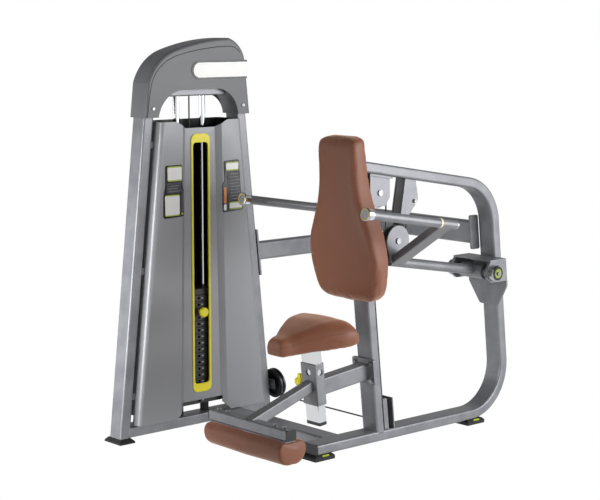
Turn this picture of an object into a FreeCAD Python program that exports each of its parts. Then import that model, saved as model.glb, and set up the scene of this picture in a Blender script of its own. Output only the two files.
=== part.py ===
import FreeCAD, Part
import math
import os

# Seated triceps press: a weight-stack tower, a loop frame beside it, and a press arm that lifts the stack
# through a cable. Millimetres, Z up. x runs along the tower's width and on to the back of the loop frame,
# y runs from the user's near hand towards the tower, and y = 0 is the front of the tower's uprights.

V = FreeCAD.Vector
UP = V(0, 0, 1)
ALONG_X = V(1, 0, 0)
ALONG_Y = V(0, 1, 0)

# Whole machine
lean_deg = 6.12
tower_middle = 375
user_plane = -623
steel_wall = 3
overrun = 6
slide_gap = 0.4
pin_gap = 0.08
seat_gap = 0.3
tiny = 1e-6

# Tower frame
tower_half = 371
foot_high = 18
foot_wide = 68
foot_deep = 102
foot_overhang = 12
foot_chamfer = 11
upright_wide = 44
upright_deep = 74
upright_round = 8
upright_top = 1348
tower_base_high = 40
tube_round = 6
top_beam_high = 61
top_beam_inset = 6
cable_slot_low = 755
cable_slot_high = 1100
cable_slot_half = 8

# Shrouds
shroud_sheet = 2
shroud_low = 65
shroud_high = 1196
shroud_side_gap = 12
shroud_round = 16
wing_front = -36
panel_front = -20
panel_half_top = 70
panel_half_low = 92
panel_slope_wide = 22
panel_low = 120
panel_high = 1169
panel_low_half = 98
wing_low_half = 130
wing_top_half = 120
wing_chamfer_high = 32
shroud_return = 8
shroud_lap_gap = 1.5
rear_shroud_back = 105
rear_shroud_low = 100
tab_wide = 30
tab_high = 24
tab_thick = 3

# Slot frame
slot_half = 36
slot_low = 184
slot_high = 1113
slot_frame_rim = 8.5
slot_frame_ends = 33
slot_frame_proud = 3.5
slot_frame_neck = 2.5
slot_frame_neck_wall = 3.5
slot_round = 14
slot_frame_round = 24
slot_frame_edge = 1.5

# Moulded cap
cap_skirt = 135
cap_rise = 155
cap_front = -18
cap_back = 78
cap_wall = 3
cap_edge = 11
cap_leg_outer_half = 250
cap_leg_inner_half = 190
cap_shoulder_share = (-0.944, -0.05)
cap_shoulder_middle_share = (-0.784, 0.39)
cap_shoulder_end_share = (-0.484, 0.71)
cap_crown_middle_share = (0.08, 0.93)
cap_crown_end_share = (0.60, 1.00)
cap_corner_middle_share = (0.79, 0.82)
cap_corner_end_share = (0.916, 0.37)
cap_arch_drop = 36
cap_cover_drop = 27
cap_arch_flat_left = 84
cap_arch_flat_right = 100
cap_arch_bow = 22
cap_bolt_rise = 33
cap_bolt_half = 214

# Weight stack
stack_plane = 46
rod_half = 62
rod_radius = 12.5
stack_low = 100
plate_thick = 25
plate_half_wide = 112
plate_deep = 100
plate_chamfer = 2
resting_count = 14
lifted_count = 3
plate_channel_radius = 14
pin_bore_radius = 5.5
pin_radius = 4.6
selector_radius = 11
selector_low = 112
buffer_radius = 17
knob_radius = 18.5
knob_long = 20
knob_gap = 21

# Cable and pulleys
cable_radius = 3
wrap_radius = 48
pulley_radius = 54
tower_wheel_radius = 59
pulley_wide = 22
pulley_rim = 9
pulley_web = 8
pulley_hub = 17
pulley_bore = 8
wheel_gap = 1.5
groove_gap = 0.4
cheek_gap = 2
cheek_thick = 5
carrier_clear = 6
carrier_over = 36
carrier_reach = 62
tower_pulley_z = 125
fork_back = 66
fork_thick = 4
fork_radius = 20
upper_pulley_z = 945
terminal_radius = 7
terminal_long = 42
axle_head_radius = 11
axle_head_high = 5

# Loop frame
loop_front = 397
loop_rear_corner = 1415.3
loop_top_corner = 931.4
loop_slope_deg = 9.5
loop_thick = 40
loop_wide = 80
loop_bend = 180
loop_round = 9
rubber_high = 20
rubber_side = 5
rubber_long = 95
rubber_front_lead = 17
rubber_rear_x = 1182
rubber_chamfer = 7
end_cap_thick = 5
upright_foot_x = 712.5
upright_long = 1030
cross_tube_x = 485
cross_tube_wide = 82

# Beams between tower and loop
beam_low = 630
beam_high = 72
beam_deep = 36
beam_front = 2
beam_flange_low = 570
beam_flange_high = 183
beam_flange_deep = 42
flange_thick = 8
cross_beam_deep = 42
cross_beam_high = 88
cross_flange_long = 136
cross_flange_wide = 46

# Pivot
pivot_x = 1256
pivot_z = 604
pivot_radius = 15
yoke_half = 97
yoke_thick = 12
yoke_nose = 34
yoke_low = 566
yoke_high = 648
yoke_plate = 10
yoke_top_plate = 6
yoke_top_nose_share = 0.5
yoke_upper_nose_share = 0.4
yoke_low_nose_share = 0.3
gusset_straight_share = 0.8
hub_radius = 30
hub_half = 58
spacer_radius = 21
housing_radius = 31
housing_long = 24
housing_edge = 4
gusset_half_top = 98
gusset_half_low = 47
gusset_low = 460
gusset_thick = 8

# Press arm
lever_radius = 19
lever_wall = 3.5
lever_rise_deg = 9.9
lever_long = 470
arm_wide = 60
arm_thick = 30
hand_half = 325
hand_radius = 16.5
hand_front_x = 357
hand_front_z = 922
hand_slope_deg = 9.28
hand_long = 440
hand_joint = 393
hand_cap_radius = 23.5
hand_cap_long = 9
hand_cap_edge = 3
arm_pulley_z = 760
arm_cheek_radius = 57
arm_cheek_foot = 34
arm_cheek_waist_share = 0.9
arm_cheek_drop_share = 0.3

# Stop post
post_side = 40
post_top_x = 866
post_long = 180
post_buffer_radius = 15
anchor_x = 893
anchor_z = 904
anchor_reach = 17
anchor_drop = 56
anchor_bolt_radius = 6

# Upper and base pulley brackets
upper_cheek_half = 50
upper_cheek_foot_share = 0.55
upper_cheek_drop_share = 0.35
upper_plate_long = 116
upper_plate_thick = 8
base_cheek_high = 118
base_cheek_deep = 118

# Back pad, in the leaning frame of the middle upright
pad_low = 508
pad_high = 1120
pad_front = -104
pad_back = -21.5
pad_corner = 24
pad_corner_deep = 17
pad_tuck = 5
pad_bulge = 3
board_thick = 9
board_inset = 22
board_back = -23
pad_bracket_wide = 70
pad_bracket_high = 60
pad_bracket_shares = (0.25, 0.80)
pad_half_widest = 167
pad_turn_share = 0.70
pad_station_shares = (
    (0.000, 0.50, 0.50), (0.018, 0.68, 0.72), (0.060, 0.83, 0.84), (0.155, 0.95, 0.91),
    (0.262, 1.00, 0.95), (0.384, 0.952, 1.00), (0.503, 0.814, 0.985), (0.626, 0.665, 0.955),
    (0.741, 0.59, 0.92), (0.918, 0.54, 0.85), (0.980, 0.52, 0.76), (1.000, 0.44, 0.56),
)

# Seat, in the same leaning frame
seat_axis = -277
sleeve_low = 175
sleeve_high = 328
sleeve_long_x = 44
sleeve_wide_y = 80
sleeve_wall = 4
sleeve_round = 5
sleeve_hole_radius = 12.5
sleeve_hole_height = 296
post_low = 105
post_high = 391
post_wall = 3
post_round = 4
seat_plate_thick = 6
seat_plate_long = 150
seat_plate_wide = 110
seat_board_thick = 10
seat_front = -455
seat_long = 290
seat_crown = 90
seat_half_rear = 155
seat_half_front = 40
seat_board_inset = 20
seat_side_share = 0.58
seat_crown_share = 0.50
seat_tuck_share = 0.05
seat_round_share = 0.03
seat_turn_share = 0.30
seat_top_share = 0.965
seat_station_shares = (
    (0.000, 0.24, 0.43), (0.030, 0.285, 0.58), (0.200, 0.42, 0.67), (0.420, 0.66, 0.87),
    (0.640, 0.88, 1.00), (0.820, 0.99, 0.985), (0.930, 1.00, 0.87), (0.985, 0.94, 0.67),
    (1.000, 0.82, 0.47),
)
seat_beam_low = 203
seat_beam_high = 62
seat_beam_wide = 50
seat_flange_wide = 112
seat_flange_high = 96
seat_flange_thick = 10
lock_height = 244
lock_radius = 7
lock_guide_radius = 12
lock_guide_long = 16
lock_knob_radius = 15
lock_knob_long = 34
post_hole_pitch = 25
post_hole_count = 7

# Foot hold-down
strut_side = 40
strut_back_z = 272
strut_front_x = 150
strut_front_z = 193
bar_wide = 44
bar_high = 38
bar_left = 96
bar_top = 196
bar_half_long = 207
foot_bolt_shares = (-0.86, -0.62, 0.62, 0.86)
foot_plate_thick = 5
foot_pad_wide = 130
foot_pad_tall = 84
foot_pad_shift = 12
foot_pad_half_long = 212
foot_pad_flat_share = 0.86
foot_pad_side_share = 0.40
foot_pad_shoulder_share = 0.985
foot_pad_turn_share = 0.14
foot_pad_belly_share = 0.72
foot_pad_station_shares = (
    (0.000, 0.91), (0.010, 0.97), (0.030, 1.00), (0.100, 1.00), (0.200, 1.00), (0.350, 1.00), (0.500, 1.00),
    (0.650, 1.00), (0.800, 1.00), (0.900, 1.00), (0.970, 1.00), (0.990, 0.97), (1.000, 0.91),
)

# Bolts
bolt_radius = 8
small_bolt_radius = 6.4
bolt_high = 6
washer_radius = 11
washer_high = 2
cap_bolt_radius = 7

lean = math.tan(math.radians(lean_deg))
base_top = rubber_high + loop_thick
cap_low = upright_top - cap_skirt
cap_arch_top = upright_top - cap_arch_drop
top_pulley_height = upright_top + pulley_radius + carrier_clear


def plane_points(plane, depth, pairs):
    """Points of a flat outline that lies in the named plane."""
    if plane == "xz":
        return [V(a, depth, b) for a, b in pairs]
    if plane == "yz":
        return [V(depth, a, b) for a, b in pairs]
    return [V(a, b, depth) for a, b in pairs]


def plane_out(plane):
    """Direction square to the named plane."""
    return {"xz": ALONG_Y, "yz": ALONG_X, "xy": UP}[plane]


def corner_ends(before, corner, after, radius):
    """Start, middle and end of the arc that rounds one corner."""
    back = (before - corner).normalize()
    ahead = (after - corner).normalize()
    half = back.getAngle(ahead) / 2
    reach = radius / math.tan(half)
    inward = (back + ahead).normalize()
    middle = corner + inward * (radius / math.sin(half) - radius)
    return corner + back * reach, middle, corner + ahead * reach


def rounded_face(points, radii):
    """Flat face inside a closed outline, with each corner turned at its own radius."""
    count = len(points)
    if not isinstance(radii, (list, tuple)):
        radii = [radii] * count
    turns = []
    for i, corner in enumerate(points):
        if radii[i]:
            turns.append(corner_ends(points[i - 1], corner, points[(i + 1) % count], radii[i]))
        else:
            turns.append((corner, None, corner))
    edges = []
    for i, (start, middle, stop) in enumerate(turns):
        if middle:
            edges.append(Part.Arc(start, middle, stop).toShape())
        following = turns[(i + 1) % count][0]
        if not stop.isEqual(following, tiny):
            edges.append(Part.LineSegment(stop, following).toShape())
    return Part.Face(Part.Wire(edges))


def prism(plane, start, stop, pairs, radii=0):
    """Solid of a flat outline between two depths."""
    face = rounded_face(plane_points(plane, start, pairs), radii)
    return face.extrude(plane_out(plane) * (stop - start))


def block(x, y, z):
    """Box between three pairs of limits."""
    return Part.makeBox(x[1] - x[0], y[1] - y[0], z[1] - z[0], V(x[0], y[0], z[0]))


def rod(start, stop, radius):
    """Round bar between two points."""
    return Part.makeCylinder(radius, (stop - start).Length, start, stop - start)


def disc(centre, axis, radius, near, far):
    """Round slice about an axis, between two distances from its centre."""
    return Part.makeCylinder(radius, far - near, centre + axis * near, axis)


def section(centre, side, rise, wide, high, radius):
    """Rounded rectangle about a centre, as a face."""
    corners = [centre + side * (a * wide / 2) + rise * (b * high / 2)
               for a, b in ((-1, -1), (1, -1), (1, 1), (-1, 1))]
    return rounded_face(corners, radius)


def bar(start, stop, side, wide, high, radius, wall=0):
    """Rectangular bar or tube between two points, its width along the side direction."""
    run = stop - start
    rise = run.cross(side).normalize()
    body = section(start, side, rise, wide, high, radius).extrude(run)
    if wall:
        inner_radius = max(radius - wall, wall / 2)
        hollow = section(start, side, rise, wide - 2 * wall, high - 2 * wall, inner_radius).extrude(run)
        body = body.cut(hollow)
    return body


def bent_path(points, radius):
    """Straight runs joined by tangent arcs."""
    edges = []
    last = points[0]
    for i in range(1, len(points) - 1):
        start, middle, stop = corner_ends(points[i - 1], points[i], points[i + 1], radius)
        edges.append(Part.LineSegment(last, start).toShape())
        edges.append(Part.Arc(start, middle, stop).toShape())
        last = stop
    edges.append(Part.LineSegment(last, points[-1]).toShape())
    return Part.Wire(edges)


def bent_tube(points, bend, side, wide, high, radius, wall=0):
    """Rectangular tube that follows a bent path."""
    path = bent_path(points, bend)
    rise = (points[1] - points[0]).cross(side).normalize()
    body = path.makePipeShell([section(points[0], side, rise, wide, high, radius).OuterWire], True, False)
    if wall:
        inner = section(points[0], side, rise, wide - 2 * wall, high - 2 * wall, max(radius - wall, wall / 2))
        body = body.cut(path.makePipeShell([inner.OuterWire], True, False))
    return body


def largest(shape):
    """The largest solid of a shape."""
    return max(shape.Solids, key=lambda s: s.Volume)


def edges_where(shape, test):
    """Edges whose two ends both pass a test."""
    return [e for e in shape.Edges if all(test(v.Point) for v in e.Vertexes)]


def near(a, b):
    """Whether two lengths are the same but for rounding."""
    return abs(a - b) < pin_gap


def bolt(point, out, radius=bolt_radius, high=bolt_high):
    """Hexagon bolt head on its washer, seated on a surface."""
    side = out.cross(UP if abs(out.z) < abs(out.x) + abs(out.y) else ALONG_X).normalize()
    rise = out.cross(side).normalize()
    ring = radius + washer_radius - bolt_radius
    washer = Part.makeCylinder(ring, washer_high, point, out)
    base = point + out * washer_high
    turns = [k * math.pi / 3 for k in range(6)]
    corners = [base + side * (radius * math.cos(turn)) + rise * (radius * math.sin(turn)) for turn in turns]
    return washer.fuse(rounded_face(corners, 0).extrude(out * high)).removeSplitter()


def dome_bolt(point, out, radius):
    """Round-headed cap bolt, seated on a surface."""
    head = Part.makeCylinder(radius, radius / 2, point, out)
    rim = [e for e in head.Edges
           if len(e.Vertexes) == 1 and near((e.Vertexes[0].Point - point).dot(out), radius / 2)]
    head = head.makeFillet(radius / 4, rim)
    return head.cut(Part.makeCylinder(radius / 3, radius, point + out * (radius / 4), out))


def lean_out(s, y, t):
    """Point of the leaning frame: s away from the middle upright, t up along it."""
    angle = math.radians(lean_deg)
    return V(upright_foot_x + s * math.cos(angle) - t * math.sin(angle), y,
             base_top + s * math.sin(angle) + t * math.cos(angle))


def leaned(shape):
    """Shape drawn with the middle upright vertical, turned to its real lean."""
    shape = shape.copy()
    shape.translate(V(upright_foot_x, 0, base_top))
    shape.rotate(V(upright_foot_x, 0, base_top), ALONG_Y, -lean_deg)
    return shape


def lean_up():
    """Direction up along the middle upright."""
    return (lean_out(0, 0, loop_thick) - lean_out(0, 0, 0)).normalize()


def lean_back():
    """Direction square to the middle upright, towards the rear."""
    return (lean_out(loop_thick, 0, 0) - lean_out(0, 0, 0)).normalize()


# Tower frame


def upright_outer(side, z):
    """x of an upright's outer face at a height."""
    return tower_middle + side * (tower_half - lean * (z - foot_high))


def upright_body(side, wall, low, high):
    """Leaning upright as a solid whose walls are drawn in by a thickness."""
    outer = upright_outer(side, low) - side * wall
    inner = upright_outer(side, low) - side * (upright_wide - wall)
    pairs = [(inner, wall), (outer, wall), (outer, upright_deep - wall), (inner, upright_deep - wall)]
    face = rounded_face(plane_points("xy", low, pairs), max(upright_round - wall, wall))
    return face.extrude(V(-side * lean * (high - low), 0, high - low))


def tower_uprights():
    """Two leaning tubes, the right one slotted where the cable leaves it."""
    tubes = []
    for side in (-1, 1):
        tube = upright_body(side, 0, foot_high, upright_top)
        tube = tube.cut(upright_body(side, steel_wall, foot_high - overrun, upright_top + overrun))
        if side > 0:
            tube = tube.cut(cable_slot())
        tubes.append(tube)
    return Part.makeCompound(tubes)


def cable_slot():
    """Slot through the right upright's outer wall, along its lean."""
    outer = upright_outer(1, cable_slot_low)
    inner = outer - 2 * steel_wall
    near_edge = stack_plane - cable_slot_half
    far_edge = stack_plane + cable_slot_half
    pairs = [(inner, near_edge), (outer + overrun, near_edge), (outer + overrun, far_edge), (inner, far_edge)]
    rise = cable_slot_high - cable_slot_low
    return rounded_face(plane_points("xy", cable_slot_low, pairs), 0).extrude(V(-lean * rise, 0, rise))


def tower_feet():
    """Flared rubber shoes under the uprights."""
    shoes = []
    for side in (-1, 1):
        outer = tower_middle + side * (tower_half + foot_overhang)
        x = sorted((outer, outer - side * foot_wide))
        front = (upright_deep - foot_deep) / 2
        shoe = block(x, (front, front + foot_deep), (0, foot_high))
        rim = edges_where(shoe, lambda p: near(p.z, foot_high))
        shoes.append(shoe.makeChamfer(foot_chamfer, rim))
    return Part.makeCompound(shoes)


def tower_base_tube():
    """Floor tube between the uprights."""
    z = foot_high + tower_base_high / 2
    y = upright_deep / 2
    tube = bar(V(upright_outer(-1, 0), y, z), V(upright_outer(1, 0), y, z), ALONG_Y,
               upright_deep, tower_base_high, tube_round, steel_wall)
    for side in (-1, 1):
        tube = tube.cut(upright_body(side, 0, foot_high - overrun, upright_top))
    ends = (upright_outer(-1, foot_high) + upright_wide / 2, upright_outer(1, foot_high) - upright_wide / 2)
    keep = block(ends, (-overrun, upright_deep + overrun), (0, foot_high + tower_base_high + overrun))
    return tube.common(keep)


def tower_top_beam():
    """Beam between the uprights' tops that carries the guide rods and pulleys."""
    z = upright_top - top_beam_high / 2
    y = upright_deep / 2
    tube = bar(V(upright_outer(-1, upright_top) + upright_wide / 2, y, z),
               V(upright_outer(1, upright_top) - upright_wide / 2, y, z), ALONG_Y,
               upright_deep - 2 * top_beam_inset, top_beam_high, tube_round, steel_wall)
    for side in (-1, 1):
        tube = tube.cut(upright_body(side, 0, foot_high, upright_top + overrun))
    hole = rod(V(tower_middle, stack_plane, cap_low), V(tower_middle, stack_plane, upright_top + overrun),
               terminal_radius)
    return tube.cut(hole)


# Shrouds


def shroud_half(z):
    """Half the width of a shroud at a height, clear of the uprights."""
    return tower_half - lean * (z - foot_high) - upright_wide - shroud_side_gap


def panel_half(z):
    """Half the width of the shroud's middle panel at a height."""
    share = (z - shroud_low) / (shroud_high - shroud_low)
    return panel_half_low + (panel_half_top - panel_half_low) * share


def front_section(z):
    """Section of the front shroud: side returns, proud wings and a set-back middle panel."""
    half = shroud_half(z)
    fold = panel_half(z)
    outer = [(-half, shroud_return), (-half, wing_front), (-fold - panel_slope_wide, wing_front),
             (-fold, panel_front), (fold, panel_front), (fold + panel_slope_wide, wing_front),
             (half, wing_front), (half, shroud_return)]
    t = shroud_sheet
    slope = fold + panel_slope_wide
    inner = [(half - t, shroud_return), (half - t, wing_front + t), (slope + t, wing_front + t),
             (fold + t, panel_front + t), (-fold - t, panel_front + t), (-slope - t, wing_front + t),
             (-half + t, wing_front + t), (-half + t, shroud_return)]
    pairs = [(tower_middle + x, y) for x, y in outer + inner]
    r = shroud_round
    radii = [0, r, 0, 0, 0, 0, r, 0, 0, r - t, 0, 0, 0, 0, r - t, 0]
    return rounded_face(plane_points("xy", z, pairs), radii).OuterWire


def front_shroud():
    """Folded front cover of the weight stack, with its slot and stepped ends."""
    shell = Part.makeLoft([front_section(shroud_low), front_section(shroud_high)], True, True)
    x = tower_middle
    far = wing_front - overrun
    back = panel_front + shroud_sheet + overrun
    low_cut = [(x - wing_low_half, shroud_low - overrun), (x + wing_low_half, shroud_low - overrun),
               (x + wing_low_half, shroud_low), (x + panel_low_half, shroud_low + wing_chamfer_high),
               (x + panel_low_half, panel_low), (x - panel_low_half, panel_low),
               (x - panel_low_half, shroud_low + wing_chamfer_high), (x - wing_low_half, shroud_low)]
    top_cut = [(x - panel_half_top, panel_high), (x + panel_half_top, panel_high),
               (x + wing_top_half, shroud_high), (x + wing_top_half, shroud_high + overrun),
               (x - wing_top_half, shroud_high + overrun), (x - wing_top_half, shroud_high)]
    neck = slot_half + slot_frame_neck_wall + slide_gap
    ends = slot_frame_neck_wall + slide_gap
    slot = [(x - neck, slot_low - ends), (x + neck, slot_low - ends),
            (x + neck, slot_high + ends), (x - neck, slot_high + ends)]
    for pairs, radius in ((low_cut, 0), (top_cut, 0), (slot, slot_round + slot_frame_neck_wall + slide_gap)):
        shell = shell.cut(prism("xz", far, back, pairs, radius))
    return shell


def rear_section(z):
    """Section of the rear shroud, a shallow tray behind the stack."""
    half = shroud_half(z)
    t = shroud_sheet
    back = rear_shroud_back
    edge = shroud_return + shroud_lap_gap
    outer = [(-half, edge), (-half, back), (half, back), (half, edge)]
    inner = [(half - t, edge), (half - t, back - t), (-half + t, back - t), (-half + t, edge)]
    pairs = [(tower_middle + x, y) for x, y in outer + inner]
    r = shroud_round
    return rounded_face(plane_points("xy", z, pairs), [0, r, r, 0, 0, r - t, r - t, 0]).OuterWire


def rear_shroud():
    """Rear cover of the weight stack."""
    return Part.makeLoft([rear_section(rear_shroud_low), rear_section(shroud_high)], True, True)


def shroud_tabs():
    """Small straps that hold both shrouds to the uprights."""
    tabs = []
    for side in (-1, 1):
        for z in (shroud_low + 4 * tab_high, (shroud_low + shroud_high) / 2, shroud_high - 4 * tab_high):
            for y in (shroud_return - tab_thick - seat_gap, upright_deep - shroud_return * 2 + seat_gap):
                wall = shroud_half(z) - shroud_sheet
                start = tower_middle + side * (wall - tab_wide / 2)
                stop = upright_outer(side, z) - side * upright_wide / 2
                x = sorted((start, stop))
                strap = block(x, (y, y + tab_thick), (z, z + tab_high))
                strap = strap.cut(upright_body(side, 0, foot_high, upright_top))
                tabs.append(strap.cut(shroud_cutter()))
    return Part.makeCompound([s for tab in tabs for s in tab.Solids if s.Volume > tab_thick ** 3])


def shroud_cutter():
    """Both shroud skins, for pieces that butt against them."""
    front = Part.makeLoft([front_section(shroud_low), front_section(shroud_high)], True, True)
    return Part.makeCompound([front, rear_shroud()])


def slot_frame():
    """Bright moulded frame round the selector slot, its neck through the shroud."""
    x = tower_middle

    def ring(half, low, high, radius, start, stop):
        pairs = [(x - half, low), (x + half, low), (x + half, high), (x - half, high)]
        return prism("xz", start, stop, pairs, radius)

    front = panel_front - slot_frame_proud
    rim = ring(slot_half + slot_frame_rim, slot_low - slot_frame_ends, slot_high + slot_frame_ends,
               slot_frame_round, front, panel_front - seat_gap)
    rim = rim.makeFillet(slot_frame_edge, edges_where(rim, lambda p: near(p.y, front)))
    w = slot_frame_neck_wall
    neck = ring(slot_half + w, slot_low - w, slot_high + w, slot_round + w, panel_front - seat_gap,
                panel_front + slot_frame_neck)
    hole = ring(slot_half, slot_low, slot_high, slot_round, front - overrun,
                panel_front + slot_frame_neck + overrun)
    return rim.fuse(neck).cut(hole).removeSplitter()


# Cap


def cap_point(x, z):
    """Point of the cap's front plane."""
    return V(tower_middle + x, cap_front, z)


def cap_crown_point(share):
    """Point of the cap's upper outline, from shares of its half width and its rise over the uprights."""
    return cap_point(cap_leg_outer_half * share[0], upright_top + cap_rise * share[1])


def cap_wire(inset=0, arch_top=cap_arch_top):
    """Outline of the cap with its arch, as a closed wire at the cap's front."""
    left_low = cap_point(-cap_leg_outer_half, cap_low)
    right_low = cap_point(cap_leg_outer_half, cap_low)
    shoulder, shoulder_middle, shoulder_end, crown_middle, crown_end, corner_middle, corner_end = [
        cap_crown_point(share) for share in (
            cap_shoulder_share, cap_shoulder_middle_share, cap_shoulder_end_share, cap_crown_middle_share,
            cap_crown_end_share, cap_corner_middle_share, cap_corner_end_share)]
    arch = [cap_point(-cap_leg_inner_half, cap_low), cap_point(-cap_arch_flat_left, arch_top),
            cap_point(cap_arch_flat_right, arch_top), cap_point(cap_leg_inner_half, cap_low)]
    bow = V(0, 0, cap_arch_bow)
    lines = [Part.LineSegment(left_low, shoulder),
             Part.Arc(shoulder, shoulder_middle, shoulder_end),
             Part.Arc(shoulder_end, crown_middle, crown_end),
             Part.Arc(crown_end, corner_middle, corner_end),
             Part.LineSegment(corner_end, right_low),
             Part.LineSegment(right_low, arch[3]),
             Part.Arc(arch[3], (arch[3] + arch[2]) / 2 + bow + V(cap_arch_bow / 2, 0, 0), arch[2]),
             Part.LineSegment(arch[2], arch[1]),
             Part.Arc(arch[1], (arch[1] + arch[0]) / 2 + bow - V(cap_arch_bow / 2, 0, 0), arch[0]),
             Part.LineSegment(arch[0], left_low)]
    wire = Part.Wire([line.toShape() for line in lines])
    return wire.makeOffset2D(-inset) if inset else wire


def cap_leg_mouths():
    """Openings under the cap's legs."""
    mouths = []
    for side in (-1, 1):
        x = sorted((tower_middle + side * (cap_leg_outer_half - cap_wall - cap_wall / 2),
                    tower_middle + side * (cap_leg_inner_half + cap_wall)))
        mouths.append(block(x, (cap_front + cap_wall, cap_back + overrun),
                            (cap_low - overrun, cap_low + 2 * cap_wall)))
    return mouths


def cap_body(inset, edge):
    """Cap's outline as a solid set in by a thickness, with its front edge rounded over the top."""
    face = Part.Face(cap_wire(inset))
    front = cap_front + inset
    face.translate(ALONG_Y * inset)
    solid = face.extrude(ALONG_Y * (cap_back - cap_front))
    rim = [e for e in edges_where(solid, lambda p: near(p.y, front))
           if max(v.Point.z for v in e.Vertexes) > cap_arch_top + 2 * cap_wall]
    return solid.makeFillet(edge, rim)


def tower_cap():
    """Moulded head cover: an arch with a long left shoulder and a tight right one."""
    behind = block((0, 2 * tower_middle), (cap_back, 2 * cap_back), (0, 2 * upright_top))
    solid = cap_body(0, cap_edge).cut(behind).cut(cap_body(cap_wall, cap_edge - cap_wall))
    for mouth in cap_leg_mouths():
        solid = solid.cut(mouth)
    ends = [upright_outer(side, upright_top) - side * upright_wide for side in (-1, 1)]
    soffit = block(ends,
                   (top_beam_inset - seat_gap, upright_deep - top_beam_inset + seat_gap),
                   (upright_top - top_beam_high - seat_gap, upright_top))
    return solid.cut(soffit)


def cap_back_cover():
    """Plate that closes the back of the cap."""
    face = Part.Face(cap_wire(cap_wall, cap_arch_top - cap_cover_drop))
    face.translate(ALONG_Y * (cap_back - cap_front + seat_gap))
    return face.extrude(ALONG_Y * cap_wall)


# Weight stack


def guide_rods():
    """Two plated rods that the plates run on."""
    rods = []
    for side in (-1, 1):
        foot = V(tower_middle + side * rod_half, stack_plane, foot_high + tower_base_high)
        rods.append(rod(foot, foot + UP * (upright_top - top_beam_high - foot.z), rod_radius))
    return Part.makeCompound(rods)


def rod_buffers():
    """Rubber buffers that the stack rests on."""
    sleeves = []
    for side in (-1, 1):
        x = tower_middle + side * rod_half
        foot = V(x, stack_plane, foot_high + tower_base_high)
        sleeve = rod(foot, V(x, stack_plane, stack_low), buffer_radius)
        bore = rod(V(x, stack_plane, 0), V(x, stack_plane, stack_low + overrun), rod_radius)
        sleeves.append(sleeve.cut(bore))
    return Part.makeCompound(sleeves)


def stack_plate(low, centre_bore):
    """One weight plate with its rod bores and its pin channel."""
    x = tower_middle
    y = stack_plane
    body = block((x - plate_half_wide, x + plate_half_wide), (y - plate_deep / 2, y + plate_deep / 2),
                 (low, low + plate_thick))
    body = body.makeChamfer(plate_chamfer, edges_where(body, lambda p: near(p.z, low))
                            + edges_where(body, lambda p: near(p.z, low + plate_thick)))
    for side in (-1, 1):
        foot = V(x + side * rod_half, y, low - overrun)
        body = body.cut(rod(foot, foot + UP * (2 * plate_thick), rod_radius + slide_gap))
    if centre_bore:
        body = body.cut(rod(V(x, y, low - overrun), V(x, y, low + 2 * plate_thick), centre_bore))
        z = low + plate_thick / 2
        body = body.cut(rod(V(x, y - plate_deep, z), V(x, y, z), pin_bore_radius))
    return body


def lifted_low():
    """Underside of the lowest plate that the pin lifts."""
    return stack_low + resting_count * plate_thick + seat_gap


def head_low():
    """Underside of the head plate."""
    return lifted_low() + lifted_count * plate_thick


def weight_plates():
    """Plates that stay down."""
    return Part.makeCompound([stack_plate(stack_low + i * plate_thick, plate_channel_radius)
                              for i in range(resting_count)])


def lifted_plates():
    """Plates that the pin has picked up."""
    return Part.makeCompound([stack_plate(lifted_low() + i * plate_thick, plate_channel_radius)
                              for i in range(lifted_count)])


def head_plate():
    """Top plate that the cable lifts."""
    return stack_plate(head_low(), 0)


def selector_rod():
    """Drilled bar that hangs from the head plate through every plate."""
    x = tower_middle
    y = stack_plane
    body = rod(V(x, y, selector_low), V(x, y, head_low()), selector_radius)
    for i in range(resting_count + lifted_count):
        z = lifted_low() + plate_thick / 2 + (i - resting_count) * plate_thick
        if z > selector_low + plate_thick / 2:
            body = body.cut(rod(V(x, y - plate_deep, z), V(x, y + plate_deep, z), pin_bore_radius))
    return body


def pin_height():
    """Height of the selector pin."""
    return lifted_low() + plate_thick / 2


def selector_pin():
    """Steel pin through the lowest lifted plate and the selector rod."""
    start = V(tower_middle, stack_plane + selector_radius + slide_gap, pin_height())
    return rod(start, V(tower_middle, knob_back(), pin_height()), pin_radius)


def knob_back():
    """y of the knob's rear face."""
    return stack_plane - plate_deep / 2 - knob_gap


def pin_knob():
    """Round moulded knob on the selector pin."""
    back = knob_back()
    centre = V(tower_middle, back, pin_height())
    ball = Part.makeCylinder(knob_radius, knob_long, centre, V(0, -1, 0))
    ball = ball.makeFillet(knob_long / 3, [e for e in ball.Edges if len(e.Vertexes) == 1])
    neck = Part.makeCylinder(knob_radius / 2, knob_gap / 2, centre, ALONG_Y)
    neck = neck.cut(Part.makeCylinder(pin_radius, knob_gap, centre, ALONG_Y))
    return ball.fuse(neck)


# Pulleys and cable


def pulley(centre, axis, radius=pulley_radius):
    """Grooved wheel with a thin web and a hub."""
    side = axis.cross(UP).normalize()
    half = pulley_wide / 2
    web = pulley_web / 2
    mouth = cable_radius + groove_gap
    bore = pulley_bore + pin_gap
    rim = radius - pulley_rim - 2 * cable_radius

    def at(out, across):
        return centre + side * out + axis * across

    right = [(wrap_radius, mouth), (radius, mouth), (radius, half), (rim, half), (rim, web),
             (pulley_hub, web), (pulley_hub, half), (bore, half)]
    corners = [at(r, a) for r, a in right] + [at(r, -a) for r, a in reversed(right)]
    lines = [Part.LineSegment(a, b).toShape() for a, b in zip(corners, corners[1:])]
    lines.append(Part.Arc(corners[-1], at(wrap_radius - mouth, 0), corners[0]).toShape())
    return Part.Face(Part.Wire(lines)).revolve(centre, axis, 360)


def axle(centre, axis, half):
    """Axle bolt with a head at each end, seated on its two cheeks."""
    shank = disc(centre, axis, pulley_bore, -half, half)
    for face in (-1, 1):
        shank = shank.fuse(disc(centre, axis * face, axle_head_radius, half, half + axle_head_high))
    return shank.removeSplitter()


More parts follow.
